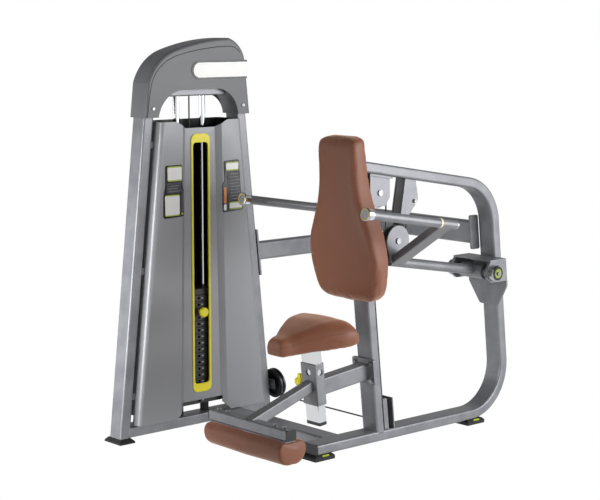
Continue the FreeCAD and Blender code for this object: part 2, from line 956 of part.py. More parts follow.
def strand_frame():
    """Directions up along the strand between the outer top wheel and the tower wheel, and square to it."""
    gap = top_outer_centre() - tower_pulley_centre() - ALONG_Y * wrap_radius
    angle = math.atan2(gap.z, gap.x) + math.acos(wrap_radius / gap.Length) - math.pi
    return V(-math.sin(angle), 0, math.cos(angle)), V(math.cos(angle), 0, math.sin(angle))


def tower_pulley_centre():
    """Middle of the wheel beside the right upright's foot, its axle's head just clear of the upright."""
    reach = cheek_half() + fork_thick + axle_head_high + wheel_gap
    return V(upright_outer(1, tower_pulley_z) + reach, stack_plane - wrap_radius, tower_pulley_z)


def top_inner_centre():
    """Middle of the wheel over the weight stack."""
    return V(tower_middle + wrap_radius, stack_plane, top_pulley_height)


def top_outer_centre():
    """Middle of the second top wheel, just clear of the first."""
    return top_inner_centre() + ALONG_X * (2 * pulley_radius + wheel_gap)


def base_pulley_centre():
    """Middle of the wheel behind the middle upright's foot."""
    tower_up, _ = strand_frame()
    low = tower_pulley_centre() - tower_up * wrap_radius
    return V(low.x, user_plane + wrap_radius, low.z) + lean_up() * wrap_radius


def upper_pulley_centre():
    """Middle of the wheel under the top tube."""
    start = base_pulley_centre() - ALONG_Y * wrap_radius
    rise = (upper_pulley_z - wrap_radius * lean_back().z - start.z) / lean_up().z
    return start + lean_up() * rise + lean_back() * wrap_radius


def arm_pulley_centre():
    """Middle of the moving wheel on the press lever."""
    return V(upper_pulley_centre().x + 2 * wrap_radius, user_plane, arm_pulley_z)


def wrap(centre, start, stop):
    """Cable round a wheel, from one radius direction to another by the shorter way."""
    axis = start.cross(stop).normalize()
    turn = math.degrees(start.getAngle(stop))
    circle = Part.makeCircle(cable_radius, centre + start * wrap_radius, axis.cross(start))
    return Part.Face(Part.Wire([circle])).revolve(centre, axis, turn)


def strand(start, stop):
    """Straight run of cable."""
    return rod(start, stop, cable_radius)


def tower_cable():
    """Cable from the wheel over the stack to the wheel at the tower's foot."""
    inner = top_inner_centre()
    outer = top_outer_centre()
    foot = tower_pulley_centre()
    up, out = strand_frame()
    pieces = [wrap(inner, V(-1, 0, 0), UP), strand(inner + UP * wrap_radius, outer + UP * wrap_radius),
              wrap(outer, UP, out), strand(outer + out * wrap_radius, foot + ALONG_Y * wrap_radius),
              wrap(foot, ALONG_Y, up * -1)]
    return joined(pieces)


def floor_cable():
    """Cable from the tower's foot along the floor, up the middle upright and over the upper wheel."""
    foot = tower_pulley_centre()
    base = base_pulley_centre()
    upper = upper_pulley_centre()
    tower_up, _ = strand_frame()
    up = lean_up()
    back = lean_back()
    pieces = [strand(foot - tower_up * wrap_radius, base - up * wrap_radius),
              wrap(base, up * -1, V(0, -1, 0)),
              strand(base - ALONG_Y * wrap_radius, upper - back * wrap_radius),
              wrap(upper, back * -1, UP), wrap(upper, UP, ALONG_X)]
    return joined(pieces)


def joined(pieces):
    """Pieces that meet end to end, as one solid where they fuse."""
    whole = pieces[0]
    for piece in pieces[1:]:
        whole = whole.fuse(piece)
    return whole.removeSplitter()


def anchor_out():
    """Radius direction at which the cable leaves the moving wheel for its anchor."""
    centre = arm_pulley_centre()
    gap = V(anchor_x, user_plane, anchor_z) - centre
    tilt = math.atan2(gap.z, gap.x) - math.acos(wrap_radius / gap.Length)
    return V(math.cos(tilt), 0, math.sin(tilt))


def arm_strands():
    """Two strands between the upper wheel, the moving wheel and the anchor."""
    centre = arm_pulley_centre()
    top = upper_pulley_centre() + ALONG_X * wrap_radius
    out = anchor_out()
    leave = centre + out * wrap_radius
    anchor = V(anchor_x, user_plane, anchor_z)
    stop = anchor - (anchor - leave).normalize() * (terminal_long / 2)
    return Part.makeCompound([strand(centre - ALONG_X * wrap_radius, top), strand(leave, stop)])


def arm_cable_loop():
    """Cable under the moving wheel."""
    centre = arm_pulley_centre()
    return joined([wrap(centre, V(-1, 0, 0), V(0, 0, -1)), wrap(centre, V(0, 0, -1), anchor_out())])


def stack_cable():
    """Strand from the head plate up to the wheel over it."""
    low = V(tower_middle, stack_plane, head_low() + plate_thick + terminal_long)
    return strand(low, V(tower_middle, stack_plane, top_pulley_height))


def stack_terminal():
    """Threaded stud and clamp that hold the cable to the head plate."""
    low = V(tower_middle, stack_plane, head_low() + plate_thick)
    body = rod(low, low + UP * terminal_long, terminal_radius)
    return body.fuse(rod(low, low + UP * (terminal_long / 4), terminal_radius * 2)).removeSplitter()


def anchor_terminal():
    """Eye end of the cable on its anchor bolt."""
    anchor = V(anchor_x, user_plane, anchor_z)
    leave = arm_pulley_centre() + anchor_out() * wrap_radius
    down = (leave - anchor).normalize()
    eye = disc(anchor, ALONG_Y, terminal_radius * 2, -terminal_radius, terminal_radius)
    body = eye.fuse(rod(anchor, anchor + down * (terminal_long / 2), terminal_radius)).removeSplitter()
    return body.cut(disc(anchor, ALONG_Y, anchor_bolt_radius, -post_side, post_side))


def cheek_half():
    """Distance from a wheel's middle plane to a cheek's inner face."""
    return pulley_wide / 2 + cheek_gap


def pulley_carrier():
    """Pair of plates on the top beam that hold both top wheels."""
    inner = top_inner_centre()
    outer = top_outer_centre()
    plates = []
    for side in (-1, 1):
        near_face = stack_plane + side * cheek_half()
        y = sorted((near_face, near_face + side * cheek_thick))
        left = inner.x - carrier_reach / 2
        right = outer.x + carrier_reach / 2
        top = top_pulley_height + carrier_over
        pairs = [(left, upright_top), (right, upright_top), (right, top), (left, top)]
        plate = prism("xz", y[0], y[1], pairs, [0, 0, carrier_reach / 3, carrier_reach / 3])
        for centre in (inner, outer):
            plate = plate.cut(disc(centre, ALONG_Y, pulley_bore, -pulley_wide * 3, pulley_wide * 3))
        plates.append(plate)
    return Part.makeCompound(plates)


def tower_fork():
    """Bracket on the right upright's outer face that holds the foot wheel between two cheeks."""
    centre = tower_pulley_centre()
    up, out = strand_frame()
    reach = cheek_half() + fork_thick

    def slab(start, stop, front):
        corners = [centre + out * start + ALONG_Y * a + up * b for a, b in (
            (front, -fork_radius), (fork_back, -fork_radius), (fork_back, fork_radius), (front, fork_radius))]
        return rounded_face(corners, 0).extrude(out * (stop - start))

    clear = axle_head_radius + cheek_gap
    seat = slab(-2 * reach, -reach, clear).cut(upright_body(1, 0, foot_high, upright_top))
    pieces = [slab(-reach, -cheek_half(), -fork_radius), slab(cheek_half(), reach, -fork_radius),
              slab(-cheek_half(), cheek_half(), fork_back - fork_thick), largest(seat)]
    return joined(pieces).cut(disc(centre, out, pulley_bore, -reach - overrun, reach + overrun))


def root_axles():
    """Axle bolts of the wheels that stay in place."""
    _, out = strand_frame()
    half = cheek_half() + cheek_thick
    return Part.makeCompound([
        axle(top_inner_centre(), ALONG_Y, half), axle(top_outer_centre(), ALONG_Y, half),
        axle(tower_pulley_centre(), out, cheek_half() + fork_thick),
        axle(base_pulley_centre(), lean_back(), half),
        axle(upper_pulley_centre(), ALONG_Y, half)])


# Loop frame


def loop_points():
    """Corner points of the loop tube's centre line."""
    slope = math.radians(loop_slope_deg)
    base = base_top - loop_thick / 2
    rear = V(loop_rear_corner, user_plane, base)
    top = V(loop_rear_corner - lean * (loop_top_corner - base), user_plane, loop_top_corner)
    front_x = lean_out(loop_thick / 2, user_plane, upright_long).x
    run = (top.x - front_x) / math.cos(slope)
    return [V(loop_front, user_plane, base), rear, top, top + V(-math.cos(slope), 0, math.sin(slope)) * run]


def loop_frame():
    """Bent tube: floor run, leaning rear upright and sloping top run."""
    tube = bent_tube(loop_points(), loop_bend, ALONG_Y, loop_wide, loop_thick, loop_round, steel_wall)
    return tube.cut(middle_upright_solid())


def top_tube_under(x):
    """Height of the top run's underside at a place along x."""
    top = loop_points()[2]
    slope = math.radians(loop_slope_deg)
    return top.z + math.tan(slope) * (top.x - x) - loop_thick / 2 / math.cos(slope)


def middle_upright_solid():
    """Middle upright without its hollow."""
    return bar(lean_out(0, user_plane, 0), lean_out(0, user_plane, upright_long + loop_thick), ALONG_Y,
               loop_wide, loop_thick, loop_round)


def middle_upright():
    """Leaning tube that carries the seat and the back pad."""
    low = lean_out(0, user_plane, -loop_thick)
    high = lean_out(0, user_plane, upright_long + loop_thick)
    tube = bar(low, high, ALONG_Y, loop_wide, loop_thick, loop_round, steel_wall)
    points = loop_points()
    floor = bar(points[0], points[1], ALONG_Y, loop_wide, loop_thick, loop_round)
    below = block((0, loop_rear_corner), (user_plane - loop_wide, user_plane + loop_wide),
                  (-loop_thick, points[0].z))
    return largest(tube.cut(floor).cut(below))


def tube_caps():
    """Black moulded plugs in the open tube ends."""
    start = loop_points()[0]
    front = bar(start - ALONG_X * end_cap_thick, start, ALONG_Y, loop_wide, loop_thick, loop_round)
    top = lean_out(0, user_plane, upright_long + loop_thick)
    head = bar(top, top + lean_up() * end_cap_thick, ALONG_Y, loop_wide, loop_thick, loop_round)
    caps = [front, head]
    z = bar_top - bar_high / 2
    for side in (-1, 1):
        end = V(bar_left + bar_wide / 2, user_plane + side * bar_half_long, z)
        caps.append(bar(end, end + ALONG_Y * (side * end_cap_thick), ALONG_X, bar_wide, bar_high, tube_round))
    beam_end = V(beam_end_x(), beam_front + beam_deep / 2, beam_low + beam_high / 2)
    caps.append(bar(beam_end, beam_end + ALONG_X * end_cap_thick, ALONG_Y, beam_deep, beam_high, loop_round))
    cross_end = V(sum(cross_beam_x()) / 2, beam_front + beam_deep, beam_low + beam_high + cross_beam_high / 2)
    caps.append(bar(cross_end, cross_end + ALONG_Y * end_cap_thick, ALONG_X, cross_beam_deep, cross_beam_high,
                    loop_round))
    return Part.makeCompound(caps)


def rubber_feet():
    """Bevelled rubber shoes under the loop's floor run."""
    shoes = []
    for x in (loop_front - rubber_front_lead, rubber_rear_x):
        half = loop_wide / 2 + rubber_side
        shoe = block((x, x + rubber_long), (user_plane - half, user_plane + half), (0, rubber_high))
        rim = edges_where(shoe, lambda p: near(p.z, rubber_high))
        shoes.append(shoe.makeChamfer(rubber_chamfer, rim))
    return Part.makeCompound(shoes)


def cross_tube():
    """Flat floor tube between the tower and the loop."""
    x = cross_tube_x + cross_tube_wide / 2
    z = base_top - loop_thick / 2
    return bar(V(x, user_plane + loop_wide / 2, z), V(x, 0, z), ALONG_X, cross_tube_wide, loop_thick,
               loop_round, steel_wall)


# Beams between tower and loop


def rear_face_x(z):
    """x of the rear upright's front face at a height."""
    base = loop_points()[0].z
    return loop_rear_corner - lean * (z - base) - loop_thick / 2 / math.cos(math.radians(lean_deg))


def beam_end_x():
    """x where the tower beam ends, flush with the cross beam."""
    return rear_face_x(beam_low + beam_high + cross_beam_high / 2)


def tower_beam():
    """Beam from the right upright to under the cross beam's far end."""
    y = beam_front + beam_deep / 2
    z = beam_low + beam_high / 2
    start = upright_outer(1, z) - upright_wide / 2
    tube = bar(V(start, y, z), V(beam_end_x(), y, z), ALONG_Y, beam_deep, beam_high, loop_round, steel_wall)
    flange = beam_flange()
    tube = tube.cut(upright_body(1, 0, foot_high, upright_top)).cut(flange)
    return Part.makeCompound([largest(tube), flange])


def beam_flange():
    """Leaning plate that bolts the tower beam to the right upright."""
    low = upright_outer(1, beam_flange_low)
    shift = V(-lean * beam_flange_high, 0, beam_flange_high)
    pairs = [(low, -beam_front), (low + flange_thick, -beam_front),
             (low + flange_thick, beam_flange_deep), (low, beam_flange_deep)]
    return rounded_face(plane_points("xy", beam_flange_low, pairs), 0).extrude(shift)


def cross_beam_x():
    """x limits of the cross beam."""
    back = beam_end_x()
    return back - cross_beam_deep, back


def rear_cross_beam():
    """Beam across from the rear upright to the tower beam, which it sits on."""
    low = beam_low + beam_high
    x = cross_beam_x()
    centre = (x[0] + x[1]) / 2
    z = low + cross_beam_high / 2
    stop = beam_front + beam_deep
    start = user_plane + loop_wide / 2 + flange_thick
    tube = bar(V(centre, start, z), V(centre, stop, z), ALONG_X, cross_beam_deep, cross_beam_high, loop_round,
               steel_wall)
    return Part.makeCompound([tube, cross_flange()])


def cross_flange():
    """Plate on the rear upright's far side that the cross beam is bolted to."""
    z = beam_low + beam_high + cross_beam_high / 2
    mid_x = (sum(cross_beam_x())) / 2
    up = lean_up()
    face = V(mid_x, user_plane + loop_wide / 2, z)
    corners = [face + ALONG_X * (a * cross_flange_wide / 2) + up * (b * cross_flange_long / 2)
               for a, b in ((-1, -1), (1, -1), (1, 1), (-1, 1))]
    return rounded_face(corners, flange_thick).extrude(ALONG_Y * flange_thick)


# Pivot


def pivot_point():
    """Middle of the press arm's shaft."""
    return V(pivot_x, user_plane, pivot_z)


def pivot_yoke():
    """Welded bracket on the rear upright: back plate, two ears and a top plate."""
    plate = yoke_back_plate()
    pieces = [plate]
    nose = pivot_x - yoke_nose * yoke_top_nose_share
    for side in (-1, 1):
        y = sorted((user_plane + side * yoke_half, user_plane + side * (yoke_half - yoke_thick)))
        back_low = rear_face_x(yoke_low) - yoke_plate
        back_high = rear_face_x(yoke_high) - yoke_plate
        pairs = [(back_low, yoke_low), (back_high, yoke_high), (nose, yoke_high),
                 (pivot_x - yoke_nose, pivot_z + yoke_nose * yoke_upper_nose_share),
                 (pivot_x - yoke_nose, pivot_z - yoke_nose * yoke_top_nose_share),
                 (pivot_x - yoke_nose * yoke_low_nose_share, yoke_low)]
        pieces.append(prism("xz", y[0], y[1], pairs, [0, 0, yoke_thick, yoke_thick, yoke_thick, yoke_thick]))
    top = block((nose, rear_face_x(yoke_high) - yoke_plate),
                (user_plane - yoke_half, user_plane + yoke_half), (yoke_high, yoke_high + yoke_top_plate))
    pieces.append(top)
    body = joined(pieces)
    return body.cut(disc(pivot_point(), ALONG_Y, pivot_radius, -2 * yoke_half, 2 * yoke_half))


def yoke_back_plate():
    """Back plate of the yoke, against the rear upright."""
    low = yoke_low
    high = yoke_high + yoke_top_plate
    pairs = [(rear_face_x(low), low), (rear_face_x(high), high),
             (rear_face_x(high) - yoke_plate, high), (rear_face_x(low) - yoke_plate, low)]
    return prism("xz", user_plane - yoke_half, user_plane + yoke_half, pairs)


def pivot_gusset():
    """Tapered plate below the yoke on the rear upright's front face."""
    low = gusset_low
    high = yoke_low
    edge = (gusset_half_top - gusset_half_low) / 2
    lower = V(rear_face_x(low), user_plane, low)
    rise = V(rear_face_x(high) - rear_face_x(low), 0, high - low)
    straight = lower + rise * gusset_straight_share
    corners = [lower - ALONG_Y * gusset_half_low, lower + ALONG_Y * gusset_half_low,
               straight + ALONG_Y * gusset_half_top, lower + rise + ALONG_Y * gusset_half_top,
               lower + rise - ALONG_Y * gusset_half_top, straight - ALONG_Y * gusset_half_top]
    return rounded_face(corners, [edge / 2, edge / 2, 0, 0, 0, 0]).extrude(lean_back() * -gusset_thick)


def bearing_housings():
    """Flanged bearing housings on the outside of both ears."""
    housings = []
    for side in (-1, 1):
        axis = ALONG_Y * side
        housing = disc(pivot_point(), axis, housing_radius, yoke_half, yoke_half + housing_long)
        rim = [e for e in housing.Edges if len(e.Vertexes) == 1
               and near((e.Vertexes[0].Point - pivot_point()).dot(axis), yoke_half + housing_long)]
        housing = housing.makeChamfer(housing_edge, rim)
        housings.append(housing.cut(disc(pivot_point(), axis, pivot_radius, 0, 2 * yoke_half)))
    return Part.makeCompound(housings)


def pivot_shaft():
    """Fixed shaft of the press arm with its end bolts."""
    end = yoke_half + housing_long
    shaft = disc(pivot_point(), ALONG_Y, pivot_radius, -end, end)
    for side in (-1, 1):
        shaft = shaft.fuse(bolt(pivot_point() + ALONG_Y * (side * end), ALONG_Y * side))
    return shaft.removeSplitter()


def hub_spacers():
    """Bushes between the hub and the ears."""
    bushes = []
    for side in (-1, 1):
        bush = disc(pivot_point(), ALONG_Y * side, spacer_radius, hub_half + seat_gap, yoke_half - yoke_thick)
        bushes.append(bush.cut(disc(pivot_point(), ALONG_Y * side, pivot_radius, 0, yoke_half)))
    return Part.makeCompound(bushes)


# Press arm


def lever_forward():
    """Direction along the lever towards the user."""
    rise = math.radians(lever_rise_deg)
    return V(-math.cos(rise), 0, math.sin(rise))


def lever_end():
    """Front end of the lever."""
    return pivot_point() + lever_forward() * lever_long


def press_lever():
    """Hub and round lever tube of the press arm."""
    pivot = pivot_point()
    tube = rod(pivot, lever_end(), lever_radius)
    tube = tube.cut(rod(pivot, lever_end() + lever_forward() * overrun, lever_radius - lever_wall))
    hub = disc(pivot, ALONG_Y, hub_radius, -hub_half, hub_half)
    body = tube.fuse(hub)
    cap = rod(lever_end(), lever_end() + lever_forward() * end_cap_thick, lever_radius)
    body = body.fuse(cap).removeSplitter()
    return body.cut(disc(pivot, ALONG_Y, pivot_radius + pin_gap, -yoke_half, yoke_half))


def hand_forward():
    """Direction along a hand bar towards the front."""
    rise = math.radians(hand_slope_deg)
    return V(-math.cos(rise), 0, math.sin(rise))


def hand_front(side):
    """Front end of a hand bar, without its cap."""
    return V(hand_front_x, user_plane + side * hand_half, hand_front_z)


def hand_bars():
    """Two round bars that the user presses on."""
    bars = []
    for side in (-1, 1):
        start = hand_front(side)
        stop = start - hand_forward() * hand_long
        bars.append(rod(start, stop, hand_radius))
    return Part.makeCompound(bars)


def hand_caps():
    """Plated caps on both ends of the hand bars."""
    caps = []
    for side in (-1, 1):
        front = hand_front(side)
        cap = rod(front, front + hand_forward() * hand_cap_long, hand_cap_radius)
        caps.append(cap.makeFillet(hand_cap_edge, [e for e in cap.Edges if len(e.Vertexes) == 1]))
        rear = front - hand_forward() * hand_long
        caps.append(rod(rear, rear - hand_forward() * end_cap_thick, hand_radius))
    return Part.makeCompound(caps)


def press_arm_body(side, wall=0):
    """One flat arm before its end cuts, solid or as a tube."""
    start = lever_end() - lever_forward() * (arm_wide / 2)
    stop = hand_front(side) - hand_forward() * hand_joint
    run = (stop - start).normalize()
    flat = (lever_forward() - run * lever_forward().dot(run)).normalize()
    return bar(start, stop, flat, arm_wide, arm_thick, tube_round, wall)


def press_arms():
    """Two flat arms that spread from the lever to the hand bars."""
    arms = []
    for side in (-1, 1):
        arm = press_arm_body(side, steel_wall)
        arm = arm.cut(rod(lever_end() + lever_forward() * arm_wide, pivot_point(), lever_radius))
        arm = arm.cut(rod(hand_front(side), hand_front(side) - hand_forward() * hand_long, hand_radius))
        other_side = sorted((user_plane, user_plane - side * post_side))
        clear = block((0, loop_rear_corner), other_side, (0, cap_low))
        arms.append(largest(arm.cut(clear)))
    return Part.makeCompound(arms)


def arm_pulley_bracket():
    """Two drop-shaped cheeks that hold the moving wheel over the lever."""
    centre = arm_pulley_centre()
    foot = lever_at(centre.x)
    arms = Part.makeCompound([press_arm_body(side) for side in (-1, 1)])
    cheeks = []
    for side in (-1, 1):
        y = sorted((user_plane + side * cheek_half(), user_plane + side * (cheek_half() + cheek_thick)))
        disc_part = Part.makeCylinder(arm_cheek_radius, cheek_thick, V(centre.x, y[0], centre.z), ALONG_Y)
        waist = arm_cheek_radius * arm_cheek_waist_share
        drop = arm_cheek_radius * arm_cheek_drop_share
        pairs = [(foot.x - arm_cheek_foot, foot.z), (foot.x + arm_cheek_foot, foot.z),
                 (centre.x + waist, centre.z - drop), (centre.x - waist, centre.z - drop)]
        cheek = disc_part.fuse(prism("xz", y[0], y[1], pairs)).removeSplitter()
        cheek = cheek.cut(disc(centre, ALONG_Y, pulley_bore, -post_side, post_side)).cut(arms)
        lever = rod(pivot_point(), lever_end() + lever_forward() * end_cap_thick, lever_radius)
        cheeks.append(largest(cheek.cut(lever)))
    return Part.makeCompound(cheeks)


def lever_at(x):
    """Point of the lever's centre line at a place along x."""
    forward = lever_forward()
    return pivot_point() + forward * ((x - pivot_x) / forward.x)


def arm_axle():
    """Axle bolt of the moving wheel."""
    return axle(arm_pulley_centre(), ALONG_Y, cheek_half() + cheek_thick)


# Stop post


def post_down():
    """Direction down along the stop post, square to the top run."""
    slope = math.radians(loop_slope_deg)
    return V(-math.sin(slope), 0, -math.cos(slope))


def post_ends():
    """Upper and lower end of the stop post's centre line."""
    start = V(post_top_x, user_plane, top_tube_under(post_top_x) + loop_thick / 2)
    return start, start + post_down() * post_long


def stop_post():
    """Post under the top run, with the plates that anchor the cable."""
    start, stop = post_ends()
    _, _, rear, front = loop_points()
    top_run = bar(rear, front, ALONG_Y, loop_wide, loop_thick, loop_round)
    pieces = [bar(start, stop, ALONG_Y, post_side, post_side, tube_round)]
    anchor = V(anchor_x, user_plane, anchor_z)
    high = start.z
    low = anchor_z - anchor_drop
    lean_side = post_down().x / post_down().z
    back_low = post_top_x - post_side / 2 + lean_side * (low - high)
    tip = anchor_x + anchor_reach
    pairs = [(post_top_x - post_side / 2, high), (anchor_x, high), (tip, anchor_z + anchor_reach),
             (tip, anchor_z), (back_low + post_side, low), (back_low, low)]
    corner = anchor_bolt_radius
    for side in (-1, 1):
        y = sorted((user_plane + side * post_side / 2, user_plane + side * (post_side / 2 + cheek_thick)))
        plate = prism("xz", y[0], y[1], pairs, [0, 0, corner, corner, corner, 0])
        pieces.append(plate.cut(disc(anchor, ALONG_Y, anchor_bolt_radius, -post_side, post_side)))
    return joined([piece.cut(top_run) for piece in pieces])


def anchor_bolt():
    """Bolt through the anchor plates and the cable's eye."""
    anchor = V(anchor_x, user_plane, anchor_z)
    half = post_side / 2 + cheek_thick
    shank = disc(anchor, ALONG_Y, anchor_bolt_radius, -half, half)
    for side in (-1, 1):
        shank = shank.fuse(bolt(anchor + ALONG_Y * (side * half), ALONG_Y * side))
    return shank.removeSplitter()


def stop_buffer():
    """Rubber buffer between the post and the moving wheel's cheeks."""
    _, stop = post_ends()
    drop = (arm_pulley_centre() - stop).dot(post_down()) - arm_cheek_radius - seat_gap
    return rod(stop, stop + post_down() * drop, post_buffer_radius + cheek_thick)


# Fixed pulley brackets


def upper_bracket():
    """Six-sided cheeks and a plate that hang the upper wheel from the top run."""
    centre = upper_pulley_centre()
    slope = math.radians(loop_slope_deg)
    along = V(-math.cos(slope), 0, math.sin(slope))
    seat = V(centre.x, user_plane, top_tube_under(centre.x))
    half_wide = cheek_half() + cheek_thick
    corners = [seat + along * (a * upper_plate_long / 2) + ALONG_Y * (b * (half_wide + flange_thick))
               for a, b in ((-1, -1), (1, -1), (1, 1), (-1, 1))]
    plate = rounded_face(corners, 0).extrude(along.cross(ALONG_Y).normalize() * upper_plate_thick)
    pieces = [plate]
    reach = upper_cheek_half
    for side in (-1, 1):
        y = sorted((user_plane + side * cheek_half(), user_plane + side * half_wide))
        top_z = seat.z + reach
        foot = reach * upper_cheek_foot_share
        drop = centre.z - reach * upper_cheek_drop_share
        pairs = [(centre.x - foot, centre.z - reach), (centre.x + foot, centre.z - reach),
                 (centre.x + reach, drop), (centre.x + reach, top_z),
                 (centre.x - reach, top_z), (centre.x - reach, drop)]
        cheek = prism("xz", y[0], y[1], pairs)
        across = (user_plane - loop_wide, user_plane + loop_wide)
        above = block((-2 * reach, 2 * reach), across, (0, 4 * reach))
        above.rotate(V(0, 0, 0), ALONG_Y, loop_slope_deg)
        above.translate(V(seat.x, 0, seat.z))
        pieces.append(cheek.cut(above))
    body = joined(pieces)
    return body.cut(disc(centre, ALONG_Y, pulley_bore, -post_side, post_side))


def base_bracket():
    """Cheeks behind the middle upright's foot that hold the base wheel."""
    centre = base_pulley_centre()
    back = lean_back()
    up = lean_up()
    face = lean_out(loop_thick / 2, user_plane, 0)
    near_side = user_plane - loop_wide / 2
    pieces = []
    for side in (-1, 1):
        inner = centre + back * (side * cheek_half())
        outer = inner + back * (side * cheek_thick)
        start = outer if side < 0 else inner
        low = start - up * ((start.z - base_top) / up.z)
        corners = [V(low.x, near_side, low.z), V(low.x, near_side + base_cheek_deep, low.z),
                   V(low.x, near_side + base_cheek_deep, low.z) + up * base_cheek_high,
                   V(low.x, near_side, low.z) + up * base_cheek_high]
        pieces.append(rounded_face(corners, [0, 0, fork_radius, 0]).extrude(back * cheek_thick))
    gap = (centre - back * (cheek_half() + cheek_thick) - face).dot(back)
    corners = [V(face.x, near_side, face.z), V(face.x, near_side + cheek_thick, face.z),
               V(face.x, near_side + cheek_thick, face.z) + up * base_cheek_high,
               V(face.x, near_side, face.z) + up * base_cheek_high]
    pieces.append(rounded_face(corners, 0).extrude(back * gap))
    floor = block((0, loop_rear_corner), (user_plane - loop_wide, user_plane + loop_wide + base_cheek_deep),
                  (-loop_thick, base_top))
    body = joined(pieces).cut(floor)
    return body.cut(disc(centre, back, pulley_bore, -post_side * 2, post_side * 2))


# Back pad


def pad_section(t, half, depth):
    """Closed section of the back pad at one height: flat back, round corners and a crowned front."""
    front = pad_back - depth
    shoulder = front + pad_corner_deep
    crown = half - pad_corner
    side = half - pad_tuck / 4
    turn_s = shoulder - (pad_corner_deep - pad_bulge) * pad_turn_share
    turn_y = crown + (side - crown) * pad_turn_share

    def at(s, y):
        return V(s, user_plane + y, t)

    tuck = half - pad_tuck
    parts = [Part.LineSegment(at(pad_back, -tuck), at(pad_back, tuck)),
             Part.Arc(at(pad_back, tuck), at((pad_back + shoulder) / 2, half), at(shoulder, side)),
             Part.Arc(at(shoulder, side), at(turn_s, turn_y), at(front + pad_bulge, crown)),
             Part.Arc(at(front + pad_bulge, crown), at(front, 0), at(front + pad_bulge, -crown)),
             Part.Arc(at(front + pad_bulge, -crown), at(turn_s, -turn_y), at(shoulder, -side)),
             Part.Arc(at(shoulder, -side), at((pad_back + shoulder) / 2, -half), at(pad_back, -tuck))]
    return Part.Wire([p.toShape() for p in parts])


def back_pad():
    """Bell-shaped upholstered pad, crowned across its front and wrapped round its board."""
    full = pad_back - pad_front
    wires = [pad_section(pad_low + (pad_high - pad_low) * along, pad_half_widest * wide, full * deep)
             for along, wide, deep in pad_station_shares]
    pocket = board_panel(board_inset - seat_gap, board_back - board_thick - seat_gap, pad_back + overrun)
    return leaned(Part.makeLoft(wires, True, False).cut(pocket))


def board_panel(inset, start, stop):
    """Flat panel with the pad's outline drawn in, between two depths."""
    points = [(pad_low + inset + (pad_high - pad_low - 2 * inset) * along, pad_half_widest * wide - inset)
              for along, wide, deep in pad_station_shares]
    right = [V(start, user_plane + w, t) for t, w in points]
    left = [V(start, user_plane - w, t) for t, w in reversed(points)]
    sides = []
    for group in (right, left):
        curve = Part.BSplineCurve()
        curve.interpolate(group)
        sides.append(curve.toShape())
    edges = [sides[0], Part.LineSegment(right[-1], left[0]).toShape(), sides[1],
             Part.LineSegment(left[-1], right[0]).toShape()]
    return Part.Face(Part.Wire(edges)).extrude(ALONG_X * (stop - start))


def back_board():
    """Backing board of the pad and the plates that fix it to the upright."""
    pieces = [board_panel(board_inset, board_back - board_thick, board_back)]
    half = pad_bracket_wide / 2
    for share in pad_bracket_shares:
        t = pad_low + (pad_high - pad_low) * share
        pieces.append(block((board_back, -loop_thick / 2), (user_plane - half, user_plane + half),
                            (t, t + pad_bracket_high)))
    return leaned(Part.makeCompound(pieces))


# Seat


def seat_section(s, half, high):
    """Closed section of the seat cushion at one place along its length."""
    low = post_high + seat_plate_thick + seat_gap
    side = low + high * seat_side_share
    crown = half * seat_crown_share
    top = low + high * seat_top_share
    round_by = high * seat_round_share
    turn_y = (half + crown) / 2 + round_by
    turn_t = side + high * seat_turn_share

    def at(y, t):
        return V(s, user_plane + y, t)

    tuck = half - high * seat_tuck_share
    parts = [Part.LineSegment(at(-tuck, low), at(tuck, low)),
             Part.Arc(at(tuck, low), at(half, (low + side) / 2), at(half - round_by, side)),
             Part.Arc(at(half - round_by, side), at(turn_y, turn_t), at(crown, top)),
             Part.Arc(at(crown, top), at(0, low + high), at(-crown, top)),
             Part.Arc(at(-crown, top), at(-turn_y, turn_t), at(-half + round_by, side)),
             Part.Arc(at(-half + round_by, side), at(-half, (low + side) / 2), at(-tuck, low))]
    return Part.Wire([p.toShape() for p in parts])


def seat_cushion():
    """Saddle-shaped cushion, narrow and low in front, wide and high behind, wrapped round its board."""
    wires = [seat_section(seat_front + seat_long * along, seat_half_rear * wide, seat_crown * high)
             for along, wide, high in seat_station_shares]
    return leaned(Part.makeLoft(wires, True, False).cut(seat_panel(seat_board_inset - seat_gap, seat_gap)))


def seat_panel(inset, gap=0):
    """Tapered panel under the cushion, set in from its outline, with a gap above and below."""
    low = post_high + seat_plate_thick
    front = seat_front + inset
    rear = seat_front + seat_long - inset
    narrow = seat_half_front - inset / 2
    wide = seat_half_rear - inset
    pairs = [(front, user_plane - narrow), (rear, user_plane - wide),
             (rear, user_plane + wide), (front, user_plane + narrow)]
    return prism("xy", low - gap, low + seat_board_thick + gap, pairs, [inset, 3 * inset, 3 * inset, inset])


def seat_board():
    """Board under the cushion and the steel plate that carries it."""
    plate = block((seat_axis - seat_plate_long / 2, seat_axis + seat_plate_long / 2),
                  (user_plane - seat_plate_wide / 2, user_plane + seat_plate_wide / 2),
                  (post_high, post_high + seat_plate_thick))
    return leaned(Part.makeCompound([seat_panel(seat_board_inset), plate]))


def post_wide():
    """Outer sizes of the seat post, a running fit in its sleeve."""
    return (sleeve_long_x - 2 * sleeve_wall - 2 * slide_gap, sleeve_wide_y - 2 * sleeve_wall - 2 * slide_gap)


def seat_post():
    """Plated post of the seat, drilled for the lock pin."""
    along, across = post_wide()
    tube = bar(V(seat_axis, user_plane, post_low), V(seat_axis, user_plane, post_high), ALONG_X,
               along, across, post_round, post_wall)
    cap = bar(V(seat_axis, user_plane, post_low - end_cap_thick), V(seat_axis, user_plane, post_low), ALONG_X,
              along, across, post_round)
    for k in range(post_hole_count):
        t = lock_height + (k - post_hole_count // 2) * post_hole_pitch
        hole = rod(V(seat_axis, user_plane, t), V(seat_axis, user_plane + across, t), lock_radius + slide_gap)
        tube = tube.cut(hole)
    return leaned(Part.makeCompound([tube, cap]))


